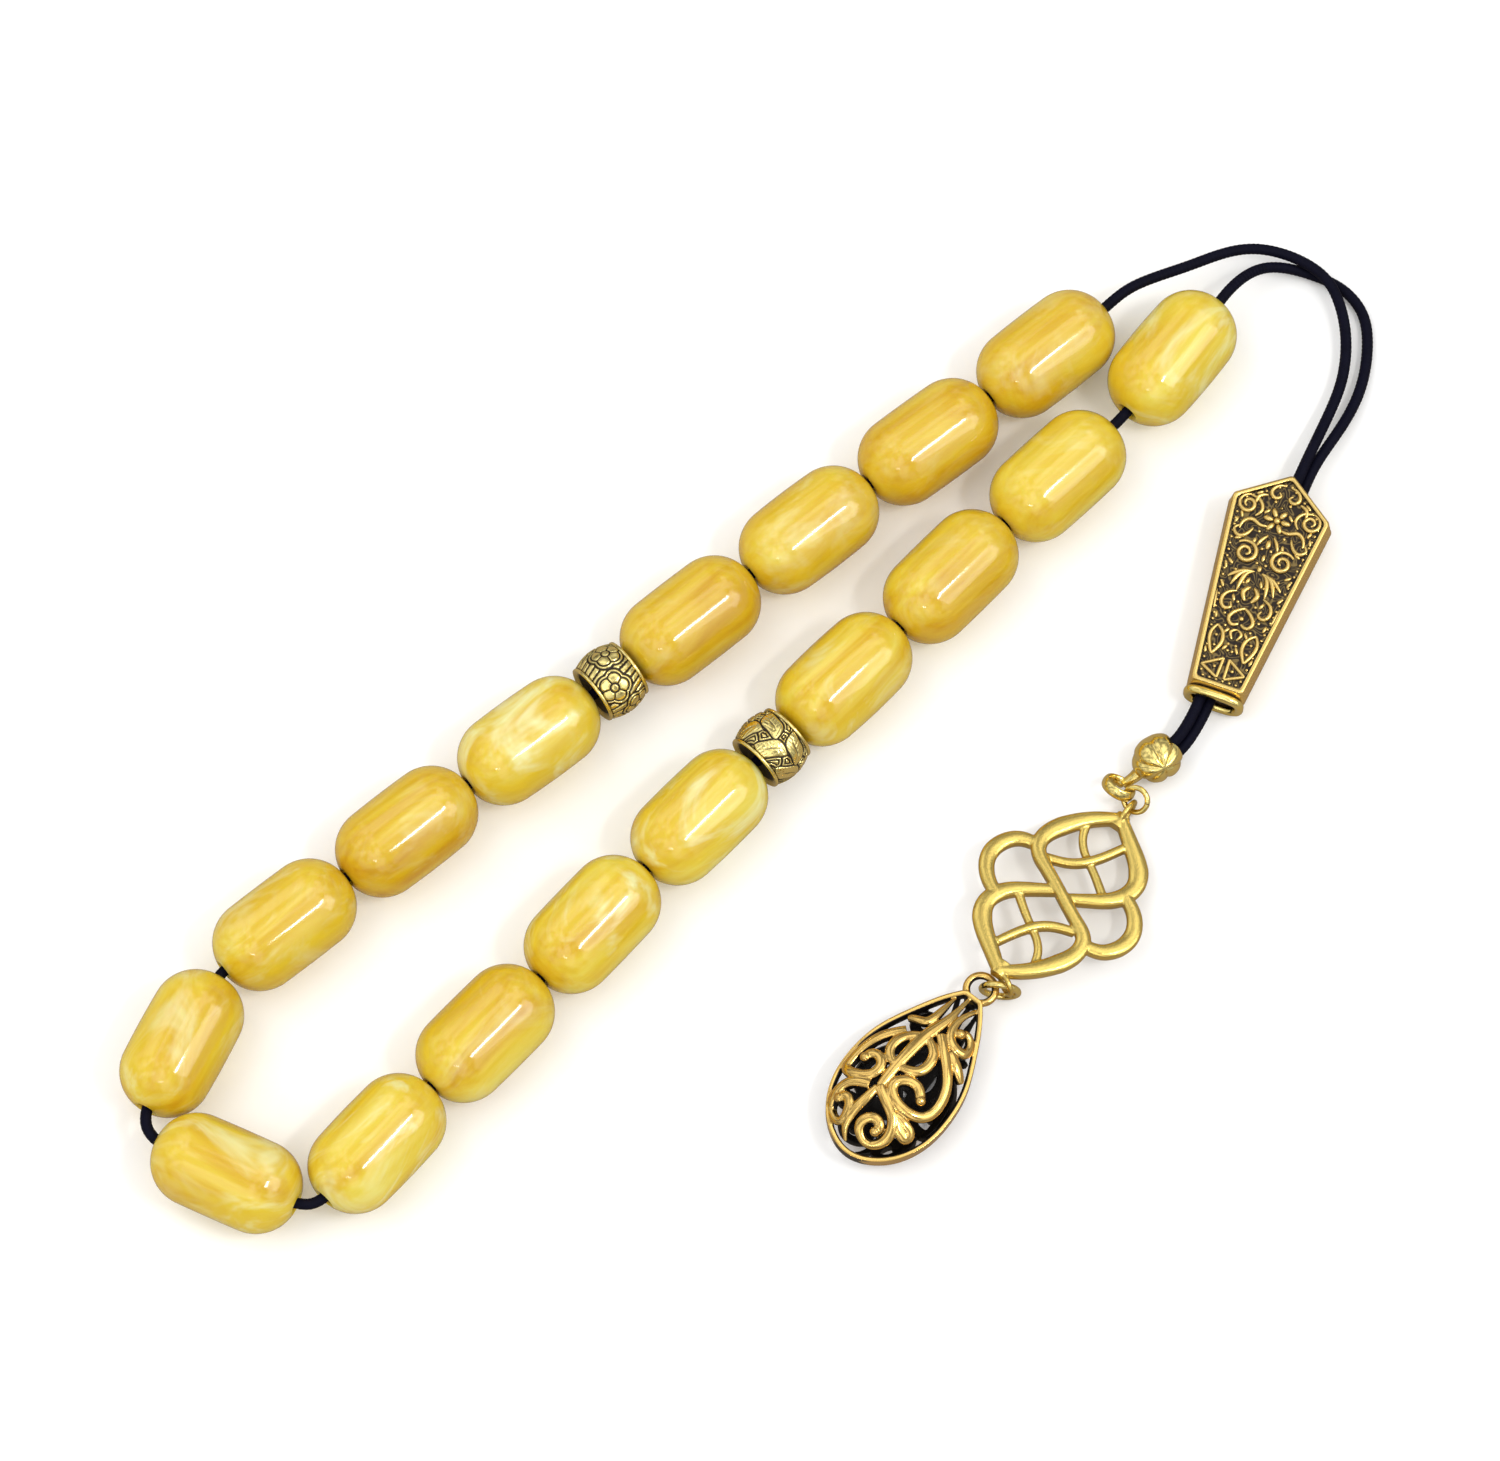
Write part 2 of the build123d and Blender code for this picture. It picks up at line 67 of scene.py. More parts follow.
# ---------------------------------------------------------------- driving dimensions, mm and degrees
# threaded pieces
BEAD_LENGTH = 19.5
BEAD_RADIUS = 6.0
BEAD_SHOULDER = 5.6
BORE_RADIUS = 1.1
BORE_MOUTH = 1.5
SPACER_LENGTH = 6.3
SPACER_RIM = 4.05
SPACER_BELLY = 0.62
SPACER_RELIEF = 0.2
SPACER_GIRTH = 2 * math.pi * 4.3
# how honey-coloured and how clouded each bead is, from 0 to 1, bead_01 first; warmth also sets how strong
# each bead's painted edge shade is
BEAD_WARMTH = (0.75, 0.85, 0.7, 0.9, 0.35, 0.85, 0.45, 0.6, 0.35, 0.1, 0.55, 0.3, 0.0, 0.3, 0.7, 0.25, 0.05)
BEAD_CLOUD = (0.3, 0.2, 0.4, 0.25, 1.0, 0.35, 0.5, 0.7, 0.8, 0.8, 0.3, 1.0, 1.0, 0.5, 0.2, 0.5, 0.7)
# cord: its doubled run goes through the imame
CORD_RADIUS = 0.75
CORD_BRAID = 0.035
KNOT_CORD_RADIUS = 0.58
STRAND_HALF_PITCH = 0.78
STRAND_ROLL = 40.0
RUN_START = (-20.0, -18.75, 3.2)
RUN_HEADING = 202.7
# imame: a gabled block, placed by its point
IMAME_POINT = (-22.6, -18.5)
IMAME_HEADING = 206.6
IMAME_LENGTH = 33.6
IMAME_SHOULDER = 7.8
IMAME_SHOULDER_AT = 5.7
IMAME_MOUTH = 4.5
IMAME_HALF = 3.2
IMAME_DRAFT = 20.0
# links, from the knot cover down to the pendant's bail
COVER_CENTRE = (-63.1, -34.1, 3.2)
COVER_HEADING = 171.0
COVER_POLE = (0.19, 0.72, 0.67)
COVER_HOLLOW = 2.4
COVER_FLUTES = 6
HOOK_CENTRE = (-69.4, -33.4, 2.6)
HOOK_RADIUS = 1.95
HOOK_TILT = 50.0
HOOK_STRIP = (0.78, 0.36)
HOOK_NECK_RADIUS = 0.62
UPPER_RING_CENTRE = (-69.0, -36.1, 2.6)
UPPER_RING_RADIUS = 1.62
UPPER_RING_WIRE = 0.36
UPPER_RING_TILT = -40.0
CONNECTOR_CENTRE = (-85.3, -38.95, 3.8)
CONNECTOR_HEADING = 10.0
CONNECTOR_PITCH = 7.9
CONNECTOR_TIP = 13.6
EYE_RADIUS = 1.38
EYE_WIRE = 0.36
LOWER_EYE = (-14.2, -1.6, -0.9)
LOWER_EYE_HEADING = 72.5
LOWER_RING_CENTRE = (-99.55, -42.6, 2.75)
LOWER_RING_HEADING = -51.0
LOWER_RING_RADIUS = 2.3
LOWER_RING_WIRE = 0.45
BAIL_CENTRE = (-101.45, -41.05, 3.75)
BAIL_RADIUS = 1.85
BAIL_WIRE = 0.5
PENDANT_HEADING = 188.0
PENDANT_FLATTENING = 0.5
SPINE_WIDTH = 0.88
SCROLL_WIDTH = 0.74
# stage
CAMERA_LENS = 186.0
CAMERA_AIM = (-97.7, 5.5, 0.0)
CAMERA_TOWARD = (-0.2354, -0.2481, 0.9397)
FLOOR_GAP = 0.02


# ---------------------------------------------------------------- lines and sections
def heading_vector(heading):
    """Unit vector on the table."""
    angle = math.radians(heading)
    return np.array([math.cos(angle), math.sin(angle), 0.0])


def unit(vectors):
    """Vectors scaled to length 1."""
    vectors = np.asarray(vectors, float)
    return vectors / np.maximum(np.linalg.norm(vectors, axis=-1, keepdims=True), 1e-9)


def spline_slopes(steps, points):
    """Second derivatives of the natural cubic spline through the points."""
    count = len(points)
    matrix = np.eye(count)
    wanted = np.zeros_like(points)
    for i in range(1, count - 1):
        matrix[i, i - 1:i + 2] = steps[i - 1], 2 * (steps[i - 1] + steps[i]), steps[i]
        ahead = (points[i + 1] - points[i]) / steps[i]
        wanted[i] = 6 * (ahead - (points[i] - points[i - 1]) / steps[i - 1])
    return np.linalg.solve(matrix, wanted)


def smooth_line(points, step):
    """Evenly spaced points on a smooth line through the given points."""
    points = np.array([tuple(p) + (0.0,) * (3 - len(p)) for p in points], float)
    steps = np.sqrt(np.linalg.norm(np.diff(points, axis=0), axis=1))
    bend = spline_slopes(steps, points)
    pieces = []
    for i, h in enumerate(steps):
        t = np.linspace(0, 1, 24, endpoint=i == len(steps) - 1)[:, None]
        curve = (1 - t) * points[i] + t * points[i + 1]
        curve += h * h / 6 * (((1 - t)**3 - (1 - t)) * bend[i] + (t**3 - t) * bend[i + 1])
        pieces.append(curve)
    return even(np.vstack(pieces), step)


def distances(line):
    """How far along a line each of its points lies."""
    return np.concatenate([[0], np.cumsum(np.linalg.norm(np.diff(line, axis=0), axis=1))])


def even(line, step):
    """The same line with its points evenly spaced."""
    along = distances(line)
    count = max(4, int(round(along[-1] / step)) + 1)
    wanted = np.linspace(0, along[-1], count)
    return np.stack([np.interp(wanted, along, line[:, i]) for i in range(3)], axis=1)


def arc(centre, radius, start, end, step=0.15):
    """Points on a circle in the XY plane, from one angle to another, in degrees."""
    count = max(6, int(abs(math.radians(end - start)) * radius / step))
    angles = np.radians(np.linspace(start, end, count))
    ring = np.stack([np.cos(angles) * radius, np.sin(angles) * radius, np.zeros(count)], axis=1)
    return ring + np.array(tuple(centre) + (0.0,) * (3 - len(centre)))


def spiral(centre, radius, start, turns, inner=0.25):
    """Points on a curl that winds in from its outer end; negative turns wind clockwise."""
    share = np.linspace(0, 1, 40)
    angles = math.radians(start) + 2 * math.pi * turns * share
    reach = radius * (1 - (1 - inner) * share)
    return [(centre[0] + r * math.cos(a), centre[1] + r * math.sin(a)) for a, r in zip(angles, reach)]


def mirrored(points):
    """The same line on the other side of the X axis."""
    return [(x, -y) for x, y in points]


def crosswise(line, up=UP, looped=False):
    """Sideways and upwards directions at each point of a line."""
    if looped:
        tangent = unit(np.roll(line, -1, axis=0) - np.roll(line, 1, axis=0))
    else:
        tangent = unit(np.gradient(line, axis=0))
    side = unit(np.cross(tangent, np.broadcast_to(np.asarray(up, float), line.shape)))
    return side, np.cross(side, tangent)


def round_section(radius, count):
    """Circle as (sideways, upwards) pairs."""
    angles = np.linspace(0, 2 * math.pi, count, endpoint=False)
    return np.stack([np.cos(angles), np.sin(angles)], axis=1) * radius


def crowned_section(half_width, crown, depth, count=8):
    """Band with a domed top that rises by crown, and straight sides that go down by depth."""
    angles = np.linspace(0, math.pi, count + 1)
    dome = np.stack([np.cos(angles) * half_width, np.sin(angles) * crown], axis=1)
    foot = np.array([(-half_width, -depth), (half_width, -depth)])
    return np.vstack([dome, foot])


def blunt(line, radius, least):
    """Widths along a strand whose two ends are rounded off."""
    along = distances(line)
    edge = np.minimum(along, along[-1] - along)
    share = np.clip(edge / radius, 0, 1)
    return np.maximum(np.sqrt(1 - (1 - share)**2), least)


def swelling(line, ends):
    """Widths along a leaf or scroll that is thick in the middle and thin at its ends."""
    share = np.linspace(0, 1, len(line))
    return ends + (1 - ends) * np.sin(math.pi * share)**0.7


# ---------------------------------------------------------------- mesh building
class Shape:
    """Closed surfaces in millimetres that end up in one mesh."""

    def __init__(self):
        self.points = []
        self.faces = []
        self.recess = []

    def skin(self, rings, looped=False, recess=None):
        """Joins rings of points with quads, and caps the two ends unless they are looped.
        recess says how deep each point lies in the relief, from 0 to 1, for the patina."""
        first = len(self.points)
        count, around = len(rings), len(rings[0])
        for ring in rings:
            self.points.extend(tuple(point) for point in ring)
        recess = 0.0 if recess is None else recess
        self.recess.extend(np.broadcast_to(recess, (count, around)).ravel())
        for i in range(count if looped else count - 1):
            here = first + i * around
            there = first + (i + 1) % count * around
            for k in range(around):
                after = (k + 1) % around
                self.faces.append((here + k, there + k, there + after, here + after))
        if not looped:
            self.faces.append(tuple(first + k for k in range(around)))
            self.faces.append(tuple(first + (count - 1) * around + k for k in reversed(range(around))))

    def sweep(self, line, section, up=UP, width=None, looped=False, relief=False):
        """A section carried along a line; up is one vector or one for each point."""
        side, top = crosswise(line, up, looped)
        width = np.ones(len(line)) if width is None else width
        across = side[:, None, :] * section[None, :, 0:1]
        rise = top[:, None, :] * section[None, :, 1:2]
        depth = None
        if relief:
            depth = np.clip(1 - section[:, 1] / (0.6 * section[:, 1].max()), 0, 1)[None, :]
        self.skin(line[:, None, :] + (across + rise) * width[:, None, None], looped, depth)

    def dome(self, centre, radius, up=UP, sink=0.3, stretch=(1.0, 1.0), turn=0.0):
        """A raised dot, which may be stretched into a petal and turned, sunk into its ground."""
        up = unit(up)
        first = unit(np.cross((0.0, 1.0, 0.0) if abs(up[1]) < 0.9 else (1.0, 0.0, 0.0), up))
        second = np.cross(up, first)
        rings = []
        for lift in (-sink, 0.0, 0.35, 0.65, 0.85, 0.96):
            reach = radius * math.sqrt(1 - max(lift, 0.0)**2)
            angles = np.linspace(0, 2 * math.pi, 12, endpoint=False)
            x = np.cos(angles) * reach * stretch[0]
            y = np.sin(angles) * reach * stretch[1]
            u = x * math.cos(turn) - y * math.sin(turn)
            v = x * math.sin(turn) + y * math.cos(turn)
            height = lift * radius * min(stretch)
            rings.append(np.asarray(centre) + u[:, None] * first + v[:, None] * second + up * height)
        self.skin(rings, recess=np.array([1.0, 0.9, 0.3, 0.0, 0.0, 0.0])[:, None])

    def lathe(self, profile, around):
        """A closed profile of (x, radius) turned about the X axis."""
        angles = np.linspace(0, 2 * math.pi, around, endpoint=False)
        rings = []
        for x, radius in profile:
            rings.append([(x, radius * math.cos(a), radius * math.sin(a)) for a in angles])
        self.skin(rings, looped=True)

    def build(self, name, material, place=None, sharp=40.0):
        """One object made of everything gathered so far."""
        mesh = bpy.data.meshes.new(name)
        mesh.from_pydata([tuple(c * MM for c in point) for point in self.points], [], self.faces)
        depth = mesh.attributes.new("recess", "FLOAT", "POINT")
        depth.data.foreach_set("value", np.array(self.recess, np.float32))
        work = bmesh.new()
        work.from_mesh(mesh)
        bmesh.ops.recalc_face_normals(work, faces=work.faces)
        work.to_mesh(mesh)
        work.free()
        return new_object(name, mesh, material, place, sharp)


def dress(mesh, material, sharp):
    """Smooth faces, sharp creases and one material."""
    for polygon in mesh.polygons:
        polygon.use_smooth = True
    mesh.set_sharp_from_angle(angle=math.radians(sharp))
    mesh.materials.clear()
    mesh.materials.append(material)


def new_object(name, mesh, material, place, sharp):
    """Puts a finished mesh in the scene."""
    dress(mesh, material, sharp)
    piece = bpy.data.objects.new(name, mesh)
    bpy.context.scene.collection.objects.link(piece)
    piece.matrix_world = place or Matrix.Translation(LAYOUT_ORIGIN)
    return piece


def evaluated(piece, sharp):
    """Applies a piece's modifiers."""
    bpy.context.view_layer.update()
    graph = bpy.context.evaluated_depsgraph_get()
    mesh = bpy.data.meshes.new_from_object(piece.evaluated_get(graph))
    old = piece.data
    dress(mesh, old.materials[0], sharp)
    piece.modifiers.clear()
    piece.data = mesh
    bpy.data.meshes.remove(old)
    mesh.name = piece.name


def cast(piece, voxel, passes):
    """Melts overlapping strands into one casting with small fillets."""
    remesh = piece.modifiers.new("remesh", "REMESH")
    remesh.mode = "VOXEL"
    remesh.voxel_size = voxel * MM
    soften = piece.modifiers.new("soften", "SMOOTH")
    soften.factor = 0.5
    soften.iterations = passes
    evaluated(piece, sharp=180.0)


def settle(piece, body, node=None):
    """Hangs a finished piece on its body and hides the CAD node that it replaces, if there is one."""
    if node:
        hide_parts(node)
    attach(piece, body)


def at(point, heading, pitch=0.0):
    """Places a piece at a layout point, turned to a heading and then pitched."""
    move = Matrix.Translation(LAYOUT_ORIGIN + Vector(point) * MM)
    turn = Matrix.Rotation(math.radians(heading), 4, "Z")
    return move @ turn @ Matrix.Rotation(math.radians(pitch), 4, "Y")


def on_axes(point, x_axis, z_axis):
    """Places a piece at a layout point with its X and Z along the given directions."""
    x_axis = Vector(x_axis).normalized()
    z_axis = Vector(z_axis).normalized()
    turn = Matrix((x_axis, z_axis.cross(x_axis), z_axis)).transposed().to_4x4()
    return Matrix.Translation(LAYOUT_ORIGIN + Vector(point) * MM) @ turn


# ---------------------------------------------------------------- materials
class Nodes:
    """A node tree with helpers that add and join nodes."""

    def __init__(self, tree):
        self.tree = tree

    def node(self, kind, settings=None, **inputs):
        """Adds a node; inputs are values, or sockets to join from."""
        new = self.tree.nodes.new("ShaderNode" + kind)
        for key, value in (settings or {}).items():
            setattr(new, key, value)
        for key, value in inputs.items():
            self.feed(new, key, value)
        return new

    def feed(self, node, key, value):
        """Sets or joins one input, named as in the editor but with _ for a space."""
        socket = node.inputs[int(key[1:])] if key[0] == "i" and key[1:].isdigit() else None
        if socket is None:
            socket = node.inputs[key.replace("_", " ")]
        if isinstance(value, bpy.types.NodeSocket):
            self.tree.links.new(value, socket)
        else:
            socket.default_value = value

    def ramp(self, factor, stops, smooth=False):
        """Colour ramp from (position, colour) stops."""
        new = self.tree.nodes.new("ShaderNodeValToRGB")
        elements = new.color_ramp.elements
        if smooth:
            new.color_ramp.interpolation = "EASE"
        while len(elements) < len(stops):
            elements.new(0.5)
        for element, (position, colour) in zip(elements, stops):
            element.position = position
            element.color = colour if len(colour) == 4 else (*colour, 1.0)
        self.tree.links.new(factor, new.inputs["Fac"])
        return new.outputs["Color"]

    def fade(self, factor, low, high, smooth=True, dark=0.0, light=1.0):
        """Grey that goes from dark to light while the factor goes from low to high."""
        return self.ramp(factor, [(low, (dark,) * 3), (high, (light,) * 3)], smooth)

    def maths(self, operation, *values):
        """One arithmetic node."""
        new = self.tree.nodes.new("ShaderNodeMath")
        new.operation = operation
        for index, value in enumerate(values):
            self.feed(new, f"i{index}", value)
        return new.outputs[0]

    def mix(self, factor, first, second):
        """Colour between first and second."""
        new = self.tree.nodes.new("ShaderNodeMix")
        new.data_type = "RGBA"
        for index, value in ((0, factor), (6, first), (7, second)):
            if not isinstance(value, (bpy.types.NodeSocket, float)) and len(value) == 3:
                value = (*value, 1.0)
            self.feed(new, f"i{index}", value)
        return new.outputs[2]

    def noise(self, vector, scale, detail=2.0, roughness=0.5, warp=0.0):
        """Noise value at a scale per unit of the vector."""
        new = self.node("TexNoise", Vector=vector, Scale=scale, Detail=detail,
                        Roughness=roughness, Distortion=warp)
        return new.outputs["Fac"]


class Finish(Nodes):
    """A node material."""

    def __init__(self, name):
        self.material = bpy.data.materials.new(name)
        self.material.use_nodes = True
        super().__init__(self.material.node_tree)
        self.surface = self.tree.nodes["Principled BSDF"]

    def surfaced(self, **inputs):
        """Sets or joins inputs of the surface, and returns the material."""
        for key, value in inputs.items():
            self.feed(self.surface, key, value)
        return self.material

    def coords(self, scale=(1.0, 1.0, 1.0), offset=None):
        """The piece's own coordinates in millimetres, scaled."""
        own = self.node("TexCoord").outputs["Object"]
        mapping = self.node("Mapping", Vector=own, Scale=tuple(s / MM for s in scale))
        if offset is None:
            return mapping.outputs[0]
        add = self.node("VectorMath", {"operation": "ADD"})
        self.tree.links.new(mapping.outputs[0], add.inputs[0])
        self.tree.links.new(offset, add.inputs[1])
        return add.outputs[0]

    def bump(self, height, strength, distance):
        """Bump from a height socket, into the surface's normal."""
        new = self.node("Bump", Height=height, Strength=strength, Distance=distance * MM)
        self.feed(self.surface, "Normal", new.outputs[0])


def resin_finish():
    """Polished marbled resin: streaks along the bead, pale clouds and honey depths, with painted shade of
    deeper honey where the bead is seen edge-on.
    """
    finish = Finish("amber_resin")
    own = {}
    for key in ("warmth", "seed", "cloud"):
        settings = {"attribute_type": "OBJECT", "attribute_name": key}
        own[key] = finish.node("Attribute", settings).outputs["Fac"]
    shift = finish.node("CombineXYZ", X=own["seed"], Y=finish.maths("MULTIPLY", own["seed"], 1.7),
                        Z=finish.maths("MULTIPLY", own["seed"], 0.6)).outputs[0]
    streaks = finish.noise(finish.coords((0.035, 0.16, 0.16), shift), 1.0, 5.0, 0.55, 1.1)
    clouds = finish.noise(finish.coords((0.06, 0.1, 0.1), shift), 1.0, 3.0, 0.6, 2.2)
    threads = finish.noise(finish.coords((0.05, 0.55, 0.55), shift), 1.0, 4.0, 0.6, 0.6)
    streaks = finish.maths("MULTIPLY_ADD", streaks, 0.75, 0.125)
    tone = finish.maths("MULTIPLY_ADD", finish.maths("SUBTRACT", threads, 0.5), 0.16, streaks)
    tone = finish.maths("SUBTRACT", tone, finish.maths("MULTIPLY", own["warmth"], 0.13))
    body = finish.ramp(tone, [
        (0.22, (0.56, 0.29, 0.006)), (0.36, (0.67, 0.43, 0.015)), (0.48, (0.73, 0.53, 0.035)),
        (0.60, (0.77, 0.62, 0.08)), (0.78, (0.82, 0.75, 0.22)),
    ])
    veil = finish.fade(clouds, 0.48, 0.76, light=0.85)
    veil = finish.maths("MULTIPLY", veil, own["cloud"])
    colour = finish.mix(veil, body, (0.84, 0.83, 0.43))
    # painted shade: the bead's colour turns deeper honey towards its edge-on rim, more so the warmer the
    # bead
    edge_on = finish.node("LayerWeight", Blend=0.32).outputs["Facing"]
    painted_edge_shade = finish.maths("MULTIPLY", finish.maths("MULTIPLY", edge_on, own["warmth"]), 0.5)
    colour = finish.mix(painted_edge_shade, colour, (0.60, 0.36, 0.010))
    wobble = finish.noise(finish.coords(), 0.25, 2.0)
    finish.bump(wobble, 0.25, 0.12)
    return finish.surfaced(
        Base_Color=colour, Roughness=0.13, IOR=1.54, Coat_Weight=0.6, Coat_Roughness=0.04,
        Subsurface_Weight=0.3, Subsurface_Radius=(1.0, 0.7, 0.2), Subsurface_Scale=1.6 * MM)


def gold_finish(name, colour, patina_and_shade, roughness, reach, grain, worn=0.35, hollow=False, chased=0.0):
    """Gold plate: dark patina where the metal is closed in, drawn with ambient occlusion, so that it is
    partly real patina and partly painted shade, and fine casting grain.
    A hollow piece gets painted shade on every surface that looks towards its own middle plane, and a
    chased one has fine curled lines of worn gold on its dark ground."""
    finish = Finish(name)
    blotches = finish.noise(finish.coords(), 0.5, 3.0, 0.6)
    speckle = finish.noise(finish.coords(), 5.0, 3.0, 0.6)
    # open_sky is ambient occlusion: where the metal is closed in it darkens towards the patina colour,
    # partly real patina in hollows and partly painted shade
    open_sky = finish.node("AmbientOcclusion", {"samples": 8}, Distance=reach * MM).outputs["AO"]
    wear = finish.maths("MULTIPLY", finish.maths("SUBTRACT", blotches, 0.5), worn)
    shade = finish.maths("ADD", open_sky, wear)
    recess = finish.node("Attribute", {"attribute_name": "recess"}).outputs["Fac"]
    shade = finish.maths("SUBTRACT", shade, finish.maths("MULTIPLY", recess, 0.75))
    # painted shade: on a hollow piece, every face that looks towards its middle plane turns to the patina
    # colour
    if hollow:
        shade = finish.maths("MULTIPLY", shade, facing_out(finish))
    clean_and_unshaded = finish.fade(shade, 0.3, 0.75)
    if chased:
        curls = finish.noise(finish.coords(), 0.5, 1.0, 0.4, 0.8)
        curls = finish.maths("PINGPONG", finish.maths("MULTIPLY", curls, 9.0), 0.5)
        lines = finish.fade(curls, 0.3, 0.44, smooth=False, light=chased)
        clean_and_unshaded = finish.maths("MAXIMUM", clean_and_unshaded, lines)
    light = finish.mix(blotches, colour, tuple(min(1.0, c * 1.15) for c in colour))
    plate = finish.mix(finish.maths("MULTIPLY", speckle, 0.25), light, tuple(c * 0.72 for c in colour))
    metal = finish.maths("MULTIPLY_ADD", clean_and_unshaded, 0.6, 0.4)
    rough = finish.maths("MULTIPLY_ADD", speckle, 0.18, roughness)
    rough = finish.maths("ADD", rough, finish.maths("MULTIPLY_ADD", clean_and_unshaded, -0.25, 0.25))
    finish.bump(speckle, 0.5, grain)
    return finish.surfaced(Base_Color=finish.mix(clean_and_unshaded, patina_and_shade, plate), Metallic=metal, Roughness=rough)


def facing_out(finish):
    """0 to 1: how far a surface of the flattened drop looks away from its middle."""
    own = finish.node("TexCoord")
    flat = finish.node("VectorMath", {"operation": "MULTIPLY"})
    finish.tree.links.new(own.outputs["Object"], flat.inputs[0])
    flat.inputs[1].default_value = (0.0, 1.0, 1 / PENDANT_FLATTENING**2)
    length = finish.node("VectorMath", {"operation": "NORMALIZE"})
    finish.tree.links.new(flat.outputs[0], length.inputs[0])
    dot = finish.node("VectorMath", {"operation": "DOT_PRODUCT"})
    finish.tree.links.new(length.outputs[0], dot.inputs[0])
    finish.tree.links.new(own.outputs["Normal"], dot.inputs[1])
    return finish.fade(dot.outputs["Value"], 0.15, 0.6)


def cord_finish():
    """Dark satin cord: low sheen with fine fibres."""
    finish = Finish("cord")
    fibres = finish.noise(finish.coords(), 9.0, 3.0, 0.7)
    tint = finish.noise(finish.coords(), 0.8, 2.0)
    base = finish.mix(tint, (0.0015, 0.0015, 0.006), (0.004, 0.004, 0.014))
    rough = finish.maths("MULTIPLY_ADD", fibres, 0.25, 0.45)
    finish.bump(fibres, 0.8, 0.08)
    return finish.surfaced(Base_Color=base, Roughness=rough, Specular_IOR_Level=0.09)


def floor_finish():
    """Matt white table with a slight glow, which every reflection shows as a darker tone."""
    finish = Finish("floor")
    tooth = finish.noise(finish.coords(), 0.4, 2.0)
    white = finish.mix(tooth, (0.92, 0.915, 0.905), (0.95, 0.945, 0.935))
    in_gloss = finish.node("LightPath").outputs["Is Glossy Ray"]
    colour = finish.mix(in_gloss, white, (0.27, 0.22, 0.16))
    return finish.surfaced(
        Base_Color=colour, Roughness=0.85, Emission_Color=(1.0, 0.99, 0.97, 1.0), Emission_Strength=0.07)


RESIN = resin_finish()
CORD = cord_finish()
# each gold's second colour is its patina colour, which also serves as painted shade where the metal is
# closed in
ANTIQUE = gold_finish("antique_gold", (0.84, 0.59, 0.19), (0.018, 0.010, 0.004),
                      roughness=0.16, reach=0.9, grain=0.025, chased=0.22)
POLISHED = gold_finish("polished_gold", (1.0, 0.76, 0.28), (0.022, 0.012, 0.004),
                       roughness=0.05, reach=0.6, grain=0.008, worn=0.15)
BRIGHT = gold_finish("bright_gold", (0.95, 0.72, 0.24), (0.30, 0.17, 0.03),
                     roughness=0.08, reach=0.7, grain=0.012)
SATIN = gold_finish("satin_gold", (0.78, 0.57, 0.15), (0.22, 0.13, 0.03),
                    roughness=0.12, reach=0.9, grain=0.05)
# the filigree's near-black patina colour is mostly painted shade inside the hollow drop
FILIGREE = gold_finish("filigree_gold", (0.76, 0.49, 0.14), (0.008, 0.005, 0.003),
                       roughness=0.06, reach=1.0, grain=0.012, hollow=True)


# ---------------------------------------------------------------- beads and spacers
def row_place(name):
    """Centre and heading of a threaded piece, from its CAD node and its joint."""
    low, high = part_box(name)
    joint = joints.get(name + "_spin") or joints[name + "_slide"]
    axis = Vector(joint["axis"])
    if name == "bead_01":
        axis.negate()
    return (low + high) / 2, math.degrees(math.atan2(axis.y, axis.x))


def row_matrix(name):
    """Object matrix of a threaded piece, X along its bore."""
    centre, heading = row_place(name)
    return Matrix.Translation(centre) @ Matrix.Rotation(math.radians(heading), 4, "Z")


def bead_profile(belly):
    """Closed outline of a bead: barrel, round shoulders, countersunk mouths and bore."""
    half = BEAD_LENGTH / 2
    core = BEAD_RADIUS - BEAD_SHOULDER
    straight = half - math.sqrt(BEAD_SHOULDER**2 - (BORE_MOUTH - core)**2)
    end = math.atan2(BORE_MOUTH - core, half - straight)
    side = []
    for x in np.linspace(0, straight, 8, endpoint=False):
        side.append((x, BEAD_RADIUS - belly * (x / straight)**2))
    for angle in np.linspace(math.pi / 2, end, 22):
        radius = core + (BEAD_SHOULDER - belly) * math.sin(angle)
        side.append((straight + BEAD_SHOULDER * math.cos(angle), radius))
    lip = [(half - 0.15, BORE_MOUTH - 0.22), (half - 0.4, BORE_RADIUS)]
    right = side + lip
    left = [(-x, r) for x, r in reversed(right)]
    return left[:-1] + right


def make_beads():
    """Every resin bead, each with its own slight belly, warmth and cloud."""
    chance = random.Random(7)
    for number, (warmth, cloud) in enumerate(zip(BEAD_WARMTH, BEAD_CLOUD), start=1):
        name = f"bead_{number:02d}"
        shape = Shape()
        shape.lathe(bead_profile(chance.uniform(0.03, 0.12)), around=80)
        bead = shape.build(name + "_resin", RESIN, row_matrix(name))
        bead["warmth"] = warmth
        bead["cloud"] = cloud
        bead["seed"] = 13.7 * number
        settle(bead, name, name)


def smooth_step(low, high, value):
    """0 below low, 1 above high and a smooth rise between."""
    share = np.clip((value - low) / (high - low), 0, 1)
    return share * share * (3 - 2 * share)


